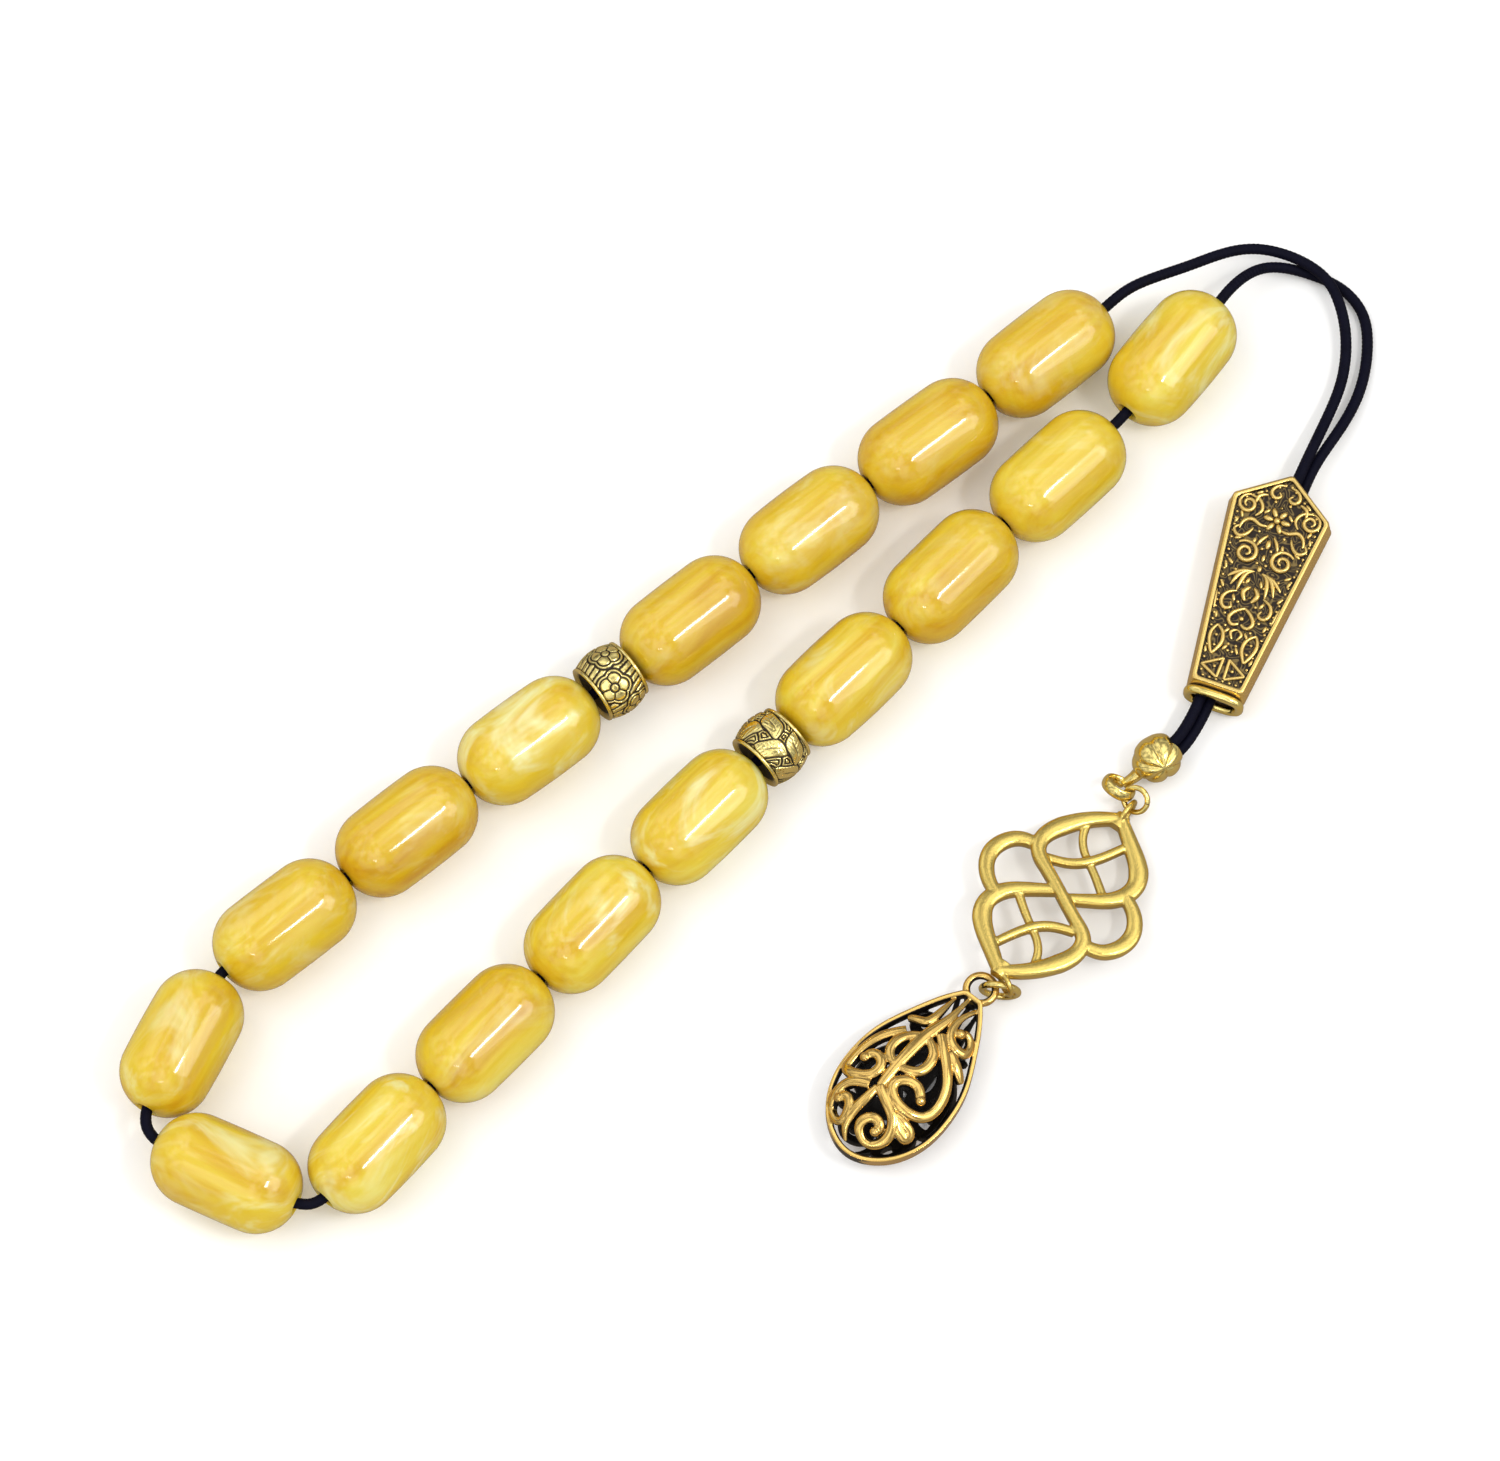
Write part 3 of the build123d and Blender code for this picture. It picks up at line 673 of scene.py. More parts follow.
def flower_relief(along, around):
    """Five-petalled flowers with a round eye, and scalloped plates between them; 1 is raised."""
    pitch = SPACER_GIRTH / 6
    height = np.ones_like(along)
    reach = np.full_like(along, 9.0)
    for index in range(-1, 8):
        u = along - (0.95 if index % 2 else -0.95)
        v = around - index * pitch
        rho = np.hypot(u, v)
        theta = np.arctan2(v, u) + 0.4 * index
        edge = 1.95 - 0.42 * (1 - np.abs(np.cos(2.5 * theta)))
        inside = rho < edge
        gap = rho * np.abs(np.sin(((5 * theta + math.pi) % (2 * math.pi) - math.pi) / 2 - math.pi / 2))
        petal = np.minimum(smooth_step(0.0, 0.2, edge - rho), smooth_step(0.06, 0.32, gap))
        petal = np.minimum(petal, smooth_step(0.05, 0.2, np.abs(rho - 0.55)))
        petal = np.where(rho < 0.5, smooth_step(0.0, 0.2, 0.55 - rho), petal)
        height = np.where(inside, petal, height)
        reach = np.minimum(reach, rho - edge)
    curls = np.minimum(smooth_step(0.02, 0.22, reach), smooth_step(0.05, 0.22, np.abs(reach - 0.5)))
    beading = np.cos(2 * math.pi * around / (pitch / 5) + 1.5 * along)
    outer = smooth_step(0.5, 0.62, reach) * smooth_step(0.32, 0.12, beading * 0.5 + 0.5)
    return np.where(reach > 0, np.maximum(curls - outer, 0.0), height)


def leaf_relief(along, around):
    """Pointed leaves in two slanting rows with curled stems between them; 1 is raised."""
    height = np.ones_like(along)
    nearest = np.full_like(along, 9.0)
    pitch = SPACER_GIRTH / 6
    for index in range(-1, 9):
        for row, lean in ((-1, 0.55), (1, -0.55)):
            u = along - 1.25 * row
            v = around - (index + 0.25 * row) * pitch
            length = u * math.sin(lean) + v * math.cos(lean)
            across = u * math.cos(lean) - v * math.sin(lean)
            share = np.clip(1 - (length / 2.3)**2, 0, 1)
            edge = 1.25 * share**0.8 - np.abs(across - 0.25 * np.sin(1.6 * length))
            vein = np.abs(across - 0.25 * np.sin(1.6 * length)) + 0.1 * np.abs(length)
            side_veins = np.abs((length * 1.4 + np.abs(across) * 1.6) % 1.0 - 0.5)
            leaf = np.minimum(smooth_step(0.0, 0.22, edge), 0.35 + 0.65 * smooth_step(0.06, 0.2, vein))
            leaf = np.minimum(leaf, 0.72 + 0.28 * smooth_step(0.05, 0.2, side_veins))
            height = np.where(edge > 0, np.minimum(leaf, height), height)
            nearest = np.minimum(nearest, -edge)
    ground = smooth_step(0.04, 0.24, nearest) * smooth_step(0.03, 0.16, np.abs(nearest - 0.42))
    return np.where(nearest > 0, ground, height)


def make_spacer(name, relief):
    """Round-bellied metal spacer with a thin rim at each end and a carved band between.
    Its ends are dark inside the radius named dished."""
    half = SPACER_LENGTH / 2
    rim = [(half - 1.1, 2.0), (half - 0.5, 3.0), (half - 0.06, SPACER_RIM - 0.4), (half, SPACER_RIM - 0.22),
           (half - 0.08, SPACER_RIM - 0.05), (half - 0.25, SPACER_RIM),
           (half - 0.42, SPACER_RIM - 0.05), (half - 0.5, SPACER_RIM - 0.25)]
    mouth = [(-half + 1.2, BORE_RADIUS + 0.2), (0, BORE_RADIUS), (half - 1.2, BORE_RADIUS + 0.2)]
    dished = 3.2
    count = 264
    angles = np.linspace(0, 2 * math.pi, count, endpoint=False)
    rows = []
    depths = []
    for x, radius in rim:
        rows.append((x, np.full(count, radius)))
        depths.append(np.full(count, float(radius < dished)))
    edge = half - 0.55
    for x in np.linspace(edge, -edge, 58):
        raised = relief(np.full(count, x), angles / (2 * math.pi) * SPACER_GIRTH)
        belly = SPACER_RIM - 0.2 + SPACER_BELLY * (1 - (x / edge)**2)
        rows.append((x, belly + SPACER_RELIEF * raised))
        depths.append(1 - raised)
    for x, radius in [(-x, r) for x, r in reversed(rim)] + mouth:
        rows.append((x, np.full(count, radius)))
        depths.append(np.full(count, float(radius < dished)))
    rings = []
    for x, radius in rows:
        rings.append(np.stack([np.full(count, x), radius * np.cos(angles), radius * np.sin(angles)], axis=1))
    shape = Shape()
    shape.skin(rings, looped=True, recess=np.array(depths))
    spacer = shape.build(name + "_carved", POLISHED, row_matrix(name), sharp=75)
    settle(spacer, name, name)


# ---------------------------------------------------------------- cord
def cord_tube(shape, line):
    """Round cord whose surface carries the fine diamonds of its braid."""
    around = 24
    angles = np.linspace(0, 2 * math.pi, around, endpoint=False)
    along = distances(line)[:, None]
    weave = np.cos(4 * angles + 5.2 * along) * np.cos(4 * angles - 5.2 * along)
    radius = CORD_RADIUS - CORD_BRAID + CORD_BRAID * weave
    side, top = crosswise(line)
    across = side[:, None, :] * np.cos(angles)[None, :, None]
    rise = top[:, None, :] * np.sin(angles)[None, :, None]
    shape.skin(line[:, None, :] + (across + rise) * radius[:, :, None])


def bore_ends(name, margin):
    """Two layout points on a threaded piece's bore, margin from each mouth, in cord order."""
    centre, heading = row_place(name)
    spot = np.array((centre - LAYOUT_ORIGIN) / MM)
    length = SPACER_LENGTH if name.startswith("spacer") else BEAD_LENGTH
    reach = heading_vector(heading) * (length / 2 - margin)
    return spot - reach, spot + reach


def strand_offset(heading, side):
    """Where one strand of the doubled cord runs, relative to the pair's middle."""
    roll = math.radians(STRAND_ROLL)
    sideways = heading_vector(heading + 90) * (side * STRAND_HALF_PITCH * math.cos(roll))
    return sideways - np.array([0, 0, side * STRAND_HALF_PITCH * math.sin(roll)])


def run_point(distance):
    """A point on the middle of the doubled cord's straight run."""
    return np.array(RUN_START) + heading_vector(RUN_HEADING) * distance


def make_row_cord():
    """The cord through every bead and spacer."""
    names = [f"bead_{number:02d}" for number in range(1, len(BEAD_WARMTH) + 1)]
    names.insert(4, "spacer_upper")
    names.insert(names.index("bead_14"), "spacer_lower")
    points = []
    for name in names:
        start, end = bore_ends(name, 0.8)
        points += [start, end]
    points[0] = bore_ends("bead_01", 6.0)[0]
    points[-1] = bore_ends("bead_17", 6.0)[1]
    shape = Shape()
    cord_tube(shape, smooth_line(points, 0.25))
    cord = shape.build("cord_row", CORD)
    settle(cord, "loop", "cord_loop")


def make_flexing_cord(name, points, node):
    """A curved strand laid between two bodies, from one layout point to the other, baked in place and hung
    on neither.
    """
    shape = Shape()
    cord_tube(shape, smooth_line(points, 0.14))
    cord = shape.build(name, CORD)
    if node:
        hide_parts(node)
    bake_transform(cord)


def make_free_strands():
    """The two strands from the end beads over the crossing and into the imame."""
    upper_out = bore_ends("bead_01", 6.0)[0]
    upper_mouth = bore_ends("bead_01", 0.0)[0]
    upper_bead = unit(upper_mouth - upper_out)
    lower_out = bore_ends("bead_17", 6.0)[1]
    lower_mouth = bore_ends("bead_17", 0.0)[1]
    lower_bead = unit(lower_mouth - lower_out)
    upper = [upper_out, upper_mouth, upper_mouth + upper_bead * 5.0,
             (-12.3, 11.7, 4.6), (-3.9, 7.9, 3.1), (0.0, 0.0, 2.7), (-0.9, -4.8, 2.3),
             (-3.8, -9.1, 1.9), (-8.2, -12.8, 1.9), (-13.4, -15.4, 2.6)]
    lower = [lower_out, lower_mouth, lower_mouth + lower_bead * 2.8,
             (-4.6, 4.9, 3.0), (0.0, 0.0, 0.9), (1.2, -3.9, 0.85), (0.6, -7.9, 0.85),
             (-2.2, -11.6, 0.9), (-6.9, -15.1, 1.2), (-12.9, -17.5, 1.9)]
    for label, points, side, node in (("upper", upper, -1, "cord_neck"), ("lower", lower, 1, None)):
        for distance in (0.0, 6.0, 14.0):
            points.append(run_point(distance) + strand_offset(RUN_HEADING, side))
        name = f"cord_strand_{label}"
        make_flexing_cord(name, points, node)


def make_tassel_strands():
    """The doubled cord out of the imame and into the knot."""
    inward = heading_vector(COVER_HEADING)
    for label, side, node in (("upper", -1, "cord_end"), ("lower", 1, None)):
        points = []
        for distance in (14.0, 26.0, 36.0, 38.0):
            points.append(run_point(distance) + strand_offset(RUN_HEADING, side))
        for reach in (3.4, 0.9):
            points.append(np.array(COVER_CENTRE) - inward * reach + strand_offset(COVER_HEADING, side))
        name = f"cord_tassel_{label}"
        make_flexing_cord(name, points, node)


def make_knot():
    """A small overhand knot inside the cover."""
    turn = np.linspace(0, 2 * math.pi, 120, endpoint=False)
    x = 0.38 * (np.sin(turn) + 2 * np.sin(2 * turn))
    y = 0.38 * (np.cos(turn) - 2 * np.cos(2 * turn))
    line = np.stack([x * 0.95, y * 0.95, -0.85 * np.sin(3 * turn)], axis=1)
    shape = Shape()
    shape.sweep(line, round_section(KNOT_CORD_RADIUS, 16), looped=True)
    knot = shape.build("end_knot_tied", CORD, at(COVER_CENTRE, COVER_HEADING, 90.0))
    settle(knot, "tassel_top", "end_knot")


# ---------------------------------------------------------------- imame
def gable(inset):
    """The imame's outline moved inwards, with small round corners, as points in order."""
    per_edge = 14
    cut = 0.5
    corners = [(0, 0), (IMAME_SHOULDER_AT, -IMAME_SHOULDER), (IMAME_LENGTH, -IMAME_MOUTH),
               (IMAME_LENGTH, IMAME_MOUTH), (IMAME_SHOULDER_AT, IMAME_SHOULDER)]
    corners = [np.array(c, float) for c in corners]
    edges = []
    for here, there in zip(corners, corners[1:] + corners[:1]):
        along = unit(there - here)
        inward = np.array([-along[1], along[0]])
        edges.append((inward, inward @ here + inset))
    inner = []
    for (n1, d1), (n2, d2) in zip(edges[-1:] + edges[:-1], edges):
        inner.append(np.linalg.solve(np.array([n1, n2]), np.array([d1, d2])))
    points = []
    for index, corner in enumerate(inner):
        before = inner[index - 1]
        after = inner[(index + 1) % len(inner)]
        first = corner + unit(before - corner) * cut
        last = corner + unit(after - corner) * cut
        for t in np.linspace(0, 1, 6):
            points.append((1 - t)**2 * first + 2 * t * (1 - t) * corner + t * t * last)
        stop = after + unit(corner - after) * cut
        for t in np.linspace(0, 1, per_edge)[1:-1]:
            points.append(last + (stop - last) * t)
    return np.array(points)


def level(inset, height):
    """One ring of the imame's skin."""
    flat = gable(inset)
    return np.column_stack([flat, np.full(len(flat), height)])


def imame_relief(shape, ground):
    """Scrolls, flower, heart, leaves and dots raised from the sunk panel."""
    band = crowned_section(0.33, 0.42, 0.15, 6)

    def strand(points, width=1.0, ends=0.45):
        line = smooth_line(points, 0.15)
        line[:, 2] = ground
        shape.sweep(line, band, width=swelling(line, ends) * width, relief=True)

    def both(points, width=1.0, ends=0.45):
        strand(points, width, ends)
        strand(mirrored(points), width, ends)

    def dot(x, y, radius=0.3, stretch=(1.0, 1.0), turn=0.0):
        shape.dome((x, y, ground), radius, stretch=stretch, turn=turn)

    # scrolls round the point, and a spiral at each shoulder
    both([(3.1, 0.35), (3.3, 1.2), (4.3, 1.9), (5.1, 1.3), (4.7, 0.6), (4.2, 0.9)])
    both([(5.0, 2.2), (5.5, 3.2), (6.6, 3.4)])
    both(spiral((7.0, 4.25), 1.35, 180, -1.45))
    both([(5.7, 4.3), (6.1, 2.9), (7.3, 2.3), (8.3, 2.9)], 0.9)
    # petalled flower
    dot(8.1, 0.0, 0.5)
    for petal in range(6):
        angle = math.pi / 3 * petal + math.pi / 6
        dot(8.1 + 1.15 * math.cos(angle), 1.15 * math.sin(angle), 0.55, (1.35, 0.75), angle)
    both([(9.2, 0.9), (9.3, 2.0), (8.9, 3.1), (9.6, 4.1), (10.6, 4.3)])
    both([(10.0, 2.6), (11.0, 3.1), (11.6, 4.1), (10.9, 4.9), (10.2, 4.4)])
    # large spirals and the drops between them
    both(spiral((13.5, 2.45), 1.65, 130, 1.6, 0.18), 1.1)
    dot(11.6, 0.0, 0.5, (1.5, 0.8))
    dot(13.6, 0.0, 0.36, (1.6, 0.8))
    dot(15.2, 0.0, 0.4, (1.3, 0.9))
    both([(10.4, 0.4), (11.2, 1.0), (12.2, 1.4)], 0.9)
    # plume, curls and leaf pair
    for spread, tip in ((3.6, 17.4), (2.9, 18.4), (1.9, 18.9)):
        both([(15.7, 0.5), (16.3, 0.3 + spread * 0.55), (tip, spread)], 1.1, 0.3)
    both([(17.9, 0.25), (18.9, 0.95), (20.0, 0.4)], 1.2)
    both([(19.0, 1.8), (19.6, 2.9), (20.7, 3.3), (21.7, 2.7), (21.4, 1.9), (20.7, 2.1)])
    both([(19.6, 4.3), (20.8, 4.1), (22.2, 3.9)], 0.8)
    # heart, point towards the imame's point
    both([(21.0, 0.0), (21.8, 1.1), (22.9, 1.6), (23.6, 1.0), (23.3, 0.2)], 1.0, 0.7)
    dot(22.5, 0.0, 0.36)
    both([(24.1, 0.0), (24.6, 0.7), (25.6, 0.3)], 0.8)
    # tulip leaves and pointed panels by the mouth
    both([(24.2, 2.6), (25.2, 3.1), (26.6, 3.0), (28.3, 2.2)], 1.0, 0.6)
    both([(24.2, 2.6), (25.0, 1.7), (26.4, 1.4), (28.3, 2.2)], 1.0, 0.6)
    triangle = ((28.4, 0.4), (30.0, 2.9), (31.2, 0.5))
    for start, end in ((triangle[0], triangle[2]), triangle[:2], (triangle[2], triangle[1])):
        both([start, ((start[0] + end[0]) / 2, (start[1] + end[1]) / 2), end], 0.8, 0.9)
    dot(29.8, 1.2, 0.26)
    dot(29.8, -1.2, 0.26)
    # small leaves that fill the spaces
    leaves = ((5.0, 3.3, 0.9), (8.6, 4.6, -0.4), (7.2, 1.6, 0.7), (9.6, 5.0, 0.3), (11.9, 4.0, 1.1),
              (11.6, 1.9, 0.2), (15.3, 3.9, -0.9), (16.0, 4.3, -0.3), (18.6, 3.9, -0.5), (17.2, 0.9, 0.3),
              (20.0, 1.9, -0.4), (22.9, 3.3, -0.2), (24.6, 1.3, 0.6), (27.9, 3.1, -0.2), (26.9, 0.8, 0.5))
    for x, y, lean in leaves:
        dot(x, y, 0.42, (1.35, 0.62), lean)
        dot(x, -y, 0.42, (1.35, 0.62), -lean)
    # beading along the border and in the spaces
    border = even(np.vstack([level(2.15, ground), level(2.15, ground)[:1]]), 0.9)
    for x, y, _ in border[:-1]:
        dot(x, y, 0.23)
    spaces = ((6.2, 0.0), (5.6, 1.0), (10.2, 1.7), (12.4, 0.6), (14.5, 0.6), (16.2, 2.9), (17.6, 1.4),
              (19.4, 0.0), (20.4, 1.2), (22.4, 2.3), (24.0, 1.7), (25.6, 2.35), (27.0, 2.2), (27.2, 0.3),
              (26.3, 0.5))
    for x, y in spaces:
        dot(x, y, 0.24)
        dot(x, -y, 0.24)


def make_imame():
    """Flat gabled leader bead with drafted walls, bright rounded border and relief panel."""
    wall = IMAME_HALF * math.tan(math.radians(IMAME_DRAFT))
    floor = IMAME_HALF - 0.5
    panel = [(wall + 0.42, IMAME_HALF), (wall + 0.55, IMAME_HALF - 0.07), (wall + 0.62, floor)]
    edge = [(wall + 0.22, IMAME_HALF), (wall + 0.06, IMAME_HALF - 0.06), (wall - 0.04, IMAME_HALF - 0.25)]
    middle = [(0.78, 0.25), (0.7, 0.0), (0.78, -0.25)]
    back = [(inset, -height) for inset, height in reversed(panel)]
    steps = back + [(inset, -height) for inset, height in edge] + middle[::-1] + edge[::-1] + panel
    shape = Shape()
    sunk = [float(step in (back[0], panel[-1])) for step in steps]
    shape.skin([level(inset, height) for inset, height in steps], recess=np.array(sunk)[:, None])
    place = at((*IMAME_POINT, IMAME_HALF), IMAME_HEADING)
    body = shape.build("imame_casting", ANTIQUE, place, sharp=50)
    bore = Shape()
    outline = arc((0, 1.5), 1.5, 0, 180)
    outline = np.vstack([outline, -outline])
    rings = [[(x, y, z) for z, y, _ in outline] for x in np.linspace(-2, IMAME_LENGTH + 2, 3)]
    bore.skin(rings)
    cutter = bore.build("imame_bore", ANTIQUE, place)
    drill = body.modifiers.new("bore", "BOOLEAN")
    drill.operation = "DIFFERENCE"
    drill.solver = "EXACT"
    drill.object = cutter
    evaluated(body, sharp=50)
    bpy.data.objects.remove(cutter)
    settle(body, "imame", "imame")
    for name, turn in (("imame_relief", 0.0), ("imame_relief_back", math.pi)):
        relief = Shape()
        imame_relief(relief, floor)
        raised = relief.build(name, ANTIQUE, place @ Matrix.Rotation(turn, 4, "X"), sharp=60)
        settle(raised, "imame")
    make_imame_lip(place)


def make_imame_lip(place):
    """Rounded rectangular rim round the imame's mouth."""
    half_width = 3.45
    half_height = 2.05
    squareness = 3.2
    lip = Shape()
    turn = np.linspace(0, 2 * math.pi, 72, endpoint=False)
    square = (np.abs(np.cos(turn))**squareness + np.abs(np.sin(turn))**squareness)**(-1 / squareness)
    across = half_width * square * np.cos(turn)
    height = half_height * square * np.sin(turn)
    rim = np.column_stack([np.full(len(turn), IMAME_LENGTH - 0.3), across, height])
    lip.sweep(rim, round_section(0.62, 14), up=(1, 0, 0), looped=True)
    mouth = lip.build("imame_lip", BRIGHT, place)
    settle(mouth, "imame")


# ---------------------------------------------------------------- knot cover, hook and rings
def link_line():
    """From the upper ring's centre to the hook's centre, along the table."""
    return Vector(HOOK_CENTRE[:2] + (0.0,)) - Vector(UPPER_RING_CENTRE[:2] + (0.0,))


def tilted(centre, tilt):
    """Placement in a plane that contains the link line, tilted about it."""
    along = link_line().normalized()
    across = Vector(UP).cross(along)
    angle = math.radians(tilt)
    second = across * math.cos(angle) + Vector(UP) * math.sin(angle)
    return on_axes(centre, along, along.cross(second))


def cover_point(polar, around, pole, hollow):
    """A point on the clamshell, outside or inside, polar angle from +X."""
    off_axis = math.sin(polar)
    way = np.array([math.cos(polar), off_axis * math.cos(around), off_axis * math.sin(around)])
    if hollow:
        return way * COVER_HOLLOW
    egg = 1 / math.sqrt((way[0] / 3.5)**2 + (way[1]**2 + way[2]**2) / 3.05**2)
    first = unit(np.cross(pole, (1.0, 0.0, 0.0)))
    second = np.cross(pole, first)
    swing = math.atan2(way @ second, way @ first)
    away = math.acos(max(-1.0, min(1.0, way @ pole)))
    fade = min(1.0, away / 0.35) * max(0.0, min(1.0, (2.3 - away) / 0.6))
    flute = abs(math.sin(COVER_FLUTES / 2 * swing))
    return way * egg * (1 - 0.11 * fade * (1 - flute)**1.6)


def make_knot_cover():
    """Fluted hollow clamshell with a curled strip for a hook."""
    pole = unit(COVER_POLE)
    shape = Shape()
    rings = []
    mouth = math.pi - math.asin(1.8 / 2.9)
    for hollow in (False, True):
        polars = np.linspace(0.03, mouth, 64)
        for polar in (polars[::-1] if hollow else polars):
            around = np.linspace(0, 2 * math.pi, 144, endpoint=False)
            rings.append([cover_point(polar, a, pole, hollow) for a in around])
    shape.skin(rings)
    cover = shape.build("knot_cover_shell", BRIGHT, at(COVER_CENTRE, COVER_HEADING), sharp=60)
    settle(cover, "tassel_top", "knot_cover")
    hook = Shape()
    curl = arc((0, 0, 0), HOOK_RADIUS, -95, 235)
    outward = unit(curl)
    section = round_section(1.0, 16) * np.array(HOOK_STRIP)
    hook.sweep(curl, section, outward, blunt(curl, 0.5, 0.3))
    place = tilted(HOOK_CENTRE, HOOK_TILT)
    neck_start = Vector(COVER_CENTRE) + Vector(heading_vector(COVER_HEADING)) * 2.6 - Vector((0, 0, 0.8))
    local = place.inverted() @ (LAYOUT_ORIGIN + neck_start * MM) / MM
    neck = smooth_line([tuple(local), (local[0] * 0.6, (local[1] - HOOK_RADIUS) / 2, local[2] * 0.5),
                        (0.05, -HOOK_RADIUS, 0.0)], 0.1)
    section = round_section(HOOK_NECK_RADIUS, 16) * np.array([1.3, 1.0])
    hook.sweep(neck, section, UP, np.linspace(1.3, 1.0, len(neck)))
    strip = hook.build("knot_cover_hook", BRIGHT, place)
    cast(strip, voxel=0.07, passes=4)
    settle(strip, "tassel_top")


def make_ring(level_name, radius, wire, place, split):
    """Jump ring of round wire with a saw cut at the angle given by split."""
    shape = Shape()
    shape.sweep(arc((0, 0, 0), radius, split + 2, split + 358, 0.08), round_section(wire, 20))
    ring = shape.build(f"{level_name}_ring_wire", BRIGHT, place, sharp=60)
    settle(ring, f"ring_{level_name}", f"jump_ring_{level_name}")


def make_rings():
    """Both jump rings."""
    upper = tilted(UPPER_RING_CENTRE, UPPER_RING_TILT)
    make_ring("upper", UPPER_RING_RADIUS, UPPER_RING_WIRE, upper, split=200)
    across = heading_vector(LOWER_RING_HEADING + 90)
    lower = on_axes(LOWER_RING_CENTRE, heading_vector(LOWER_RING_HEADING), across)
    make_ring("lower", LOWER_RING_RADIUS, LOWER_RING_WIRE, lower, split=30)


# ---------------------------------------------------------------- connector
def band(shape, points, widths, lift=0.0, half_width=1.15, thickness=0.85):
    """A crowned band through flat points, with its width scaled from one end to the other."""
    line = smooth_line(points, 0.2)
    share = np.linspace(0, 1, len(line))
    scale = np.interp(share, np.linspace(0, 1, len(widths)), widths)
    lifts = np.interp(share, np.linspace(0, 1, 5), (0, lift * 0.4, lift, lift * 0.4, 0))
    line[:, 2] = lifts
    angles = np.linspace(0, math.pi, 15)
    crown = np.sin(angles)**0.8
    reach = np.copysign(np.abs(np.cos(angles))**0.9, np.cos(angles))
    top = list(zip(half_width * reach, 0.1 + (thickness - 0.1) * crown))
    bottom = [(-half_width * 0.85, -thickness), (half_width * 0.85, -thickness)]
    section = np.array(top + bottom)
    side = crosswise(line)[0]
    across = side[:, None, :] * section[None, :, 0:1] * scale[:, None, None]
    rise = np.array(UP)[None, None, :] * section[None, :, 1:2]
    shape.skin(line[:, None, :] + across + rise)


def spun(points, turn):
    """The same line, or the line turned half way round when turn is -1."""
    return [(x * turn, y * turn) for x, y in points]


def connector_eye(shape, centre, heading, stretch=1.0):
    """An upright loop of round wire, which may be stretched along its heading."""
    angle = math.radians(heading)
    flat = arc((0, 0, 0), EYE_RADIUS, 0, 360, 0.1)[:-1]
    along = flat[:, 0] * stretch
    line = np.column_stack([along * math.cos(angle), along * math.sin(angle), flat[:, 1]])
    normal = (-math.sin(angle), math.cos(angle), 0)
    shape.sweep(line + np.array(centre), round_section(EYE_WIRE, 16), normal, looped=True)


def make_connector():
    """Two interlaced leaves with an ear on each side, cast in one, and an eye at each tip."""
    tip = (CONNECTOR_TIP, 0)
    snake = [tip, (11.4, 2.8), (8.4, 5.2), (5.5, 6.4), (3.4, 5.9), (2.1, 4.1), (0.8, 1.5), (0, 0)]
    leaf = [tip, (11.2, -3.3), (9.0, -5.9), (6.6, -6.9), (4.0, -6.0), (1.8, -3.6), (-0.1, -0.9)]
    ear = [(4.0, 6.3), (3.3, 8.7), (1.2, 10.3), (-1.4, 10.4), (-3.7, 8.8), (-5.0, 6.5)]
    crossbar = [(3.2, 4.4), (4.4, 1.6), (6.6, -0.6), (10.4, -2.6)]
    bar = [(10.3, 3.1), (8.6, 2.5), (7.0, 1.2), (5.3, -1.4), (3.2, -4.3)]
    shape = Shape()
    for turn in (1, -1):
        band(shape, spun(leaf, turn), (0.75, 0.95, 1.15, 1.0, 0.8, 0.65), -0.1)
        band(shape, spun(ear, turn), (0.75, 0.95, 1.05, 0.95, 0.75), -0.15, half_width=1.08, thickness=0.8)
        band(shape, spun(crossbar, turn), (0.9, 1.0, 0.9), 0.1, half_width=0.66, thickness=0.68)
        band(shape, spun(bar, turn), (1.0, 0.85, 1.0), -0.1, half_width=0.6, thickness=0.55)
        band(shape, spun([(12.2, 0), (13.2, 0), (14.3, 0)], turn), (1.0, 1.0, 0.8), -0.05)
    whole = snake + spun(snake[-2::-1], -1)
    widths = (0.7, 0.9, 1.1, 0.95, 0.75, 0.72, 0.75, 0.95, 1.1, 0.9, 0.7)
    band(shape, whole, widths, 0.35)
    connector_eye(shape, (CONNECTOR_TIP + 1.28, 0, 0), 0, stretch=1.25)
    connector_eye(shape, LOWER_EYE, LOWER_EYE_HEADING - CONNECTOR_HEADING)
    place = at(CONNECTOR_CENTRE, CONNECTOR_HEADING, CONNECTOR_PITCH)
    connector = shape.build("connector_casting", SATIN, place)
    cast(connector, voxel=0.11, passes=5)
    settle(connector, "connector", "connector")


# ---------------------------------------------------------------- pendant
DROP_OUTLINE = [(1.9, 1.1), (4.2, 2.8), (8.5, 5.1), (12.5, 6.75), (16.5, 7.35), (20.6, 7.0), (24.3, 5.3),
                (26.6, 2.7), (27.4, 0.0)]


def drop_height(x, y, outline):
    """Height of the drop's surface above its middle plane."""
    reach = np.interp(x, outline[:, 0], outline[:, 1])
    return PENDANT_FLATTENING * np.sqrt(np.maximum(reach**2 - y**2, 0.02))


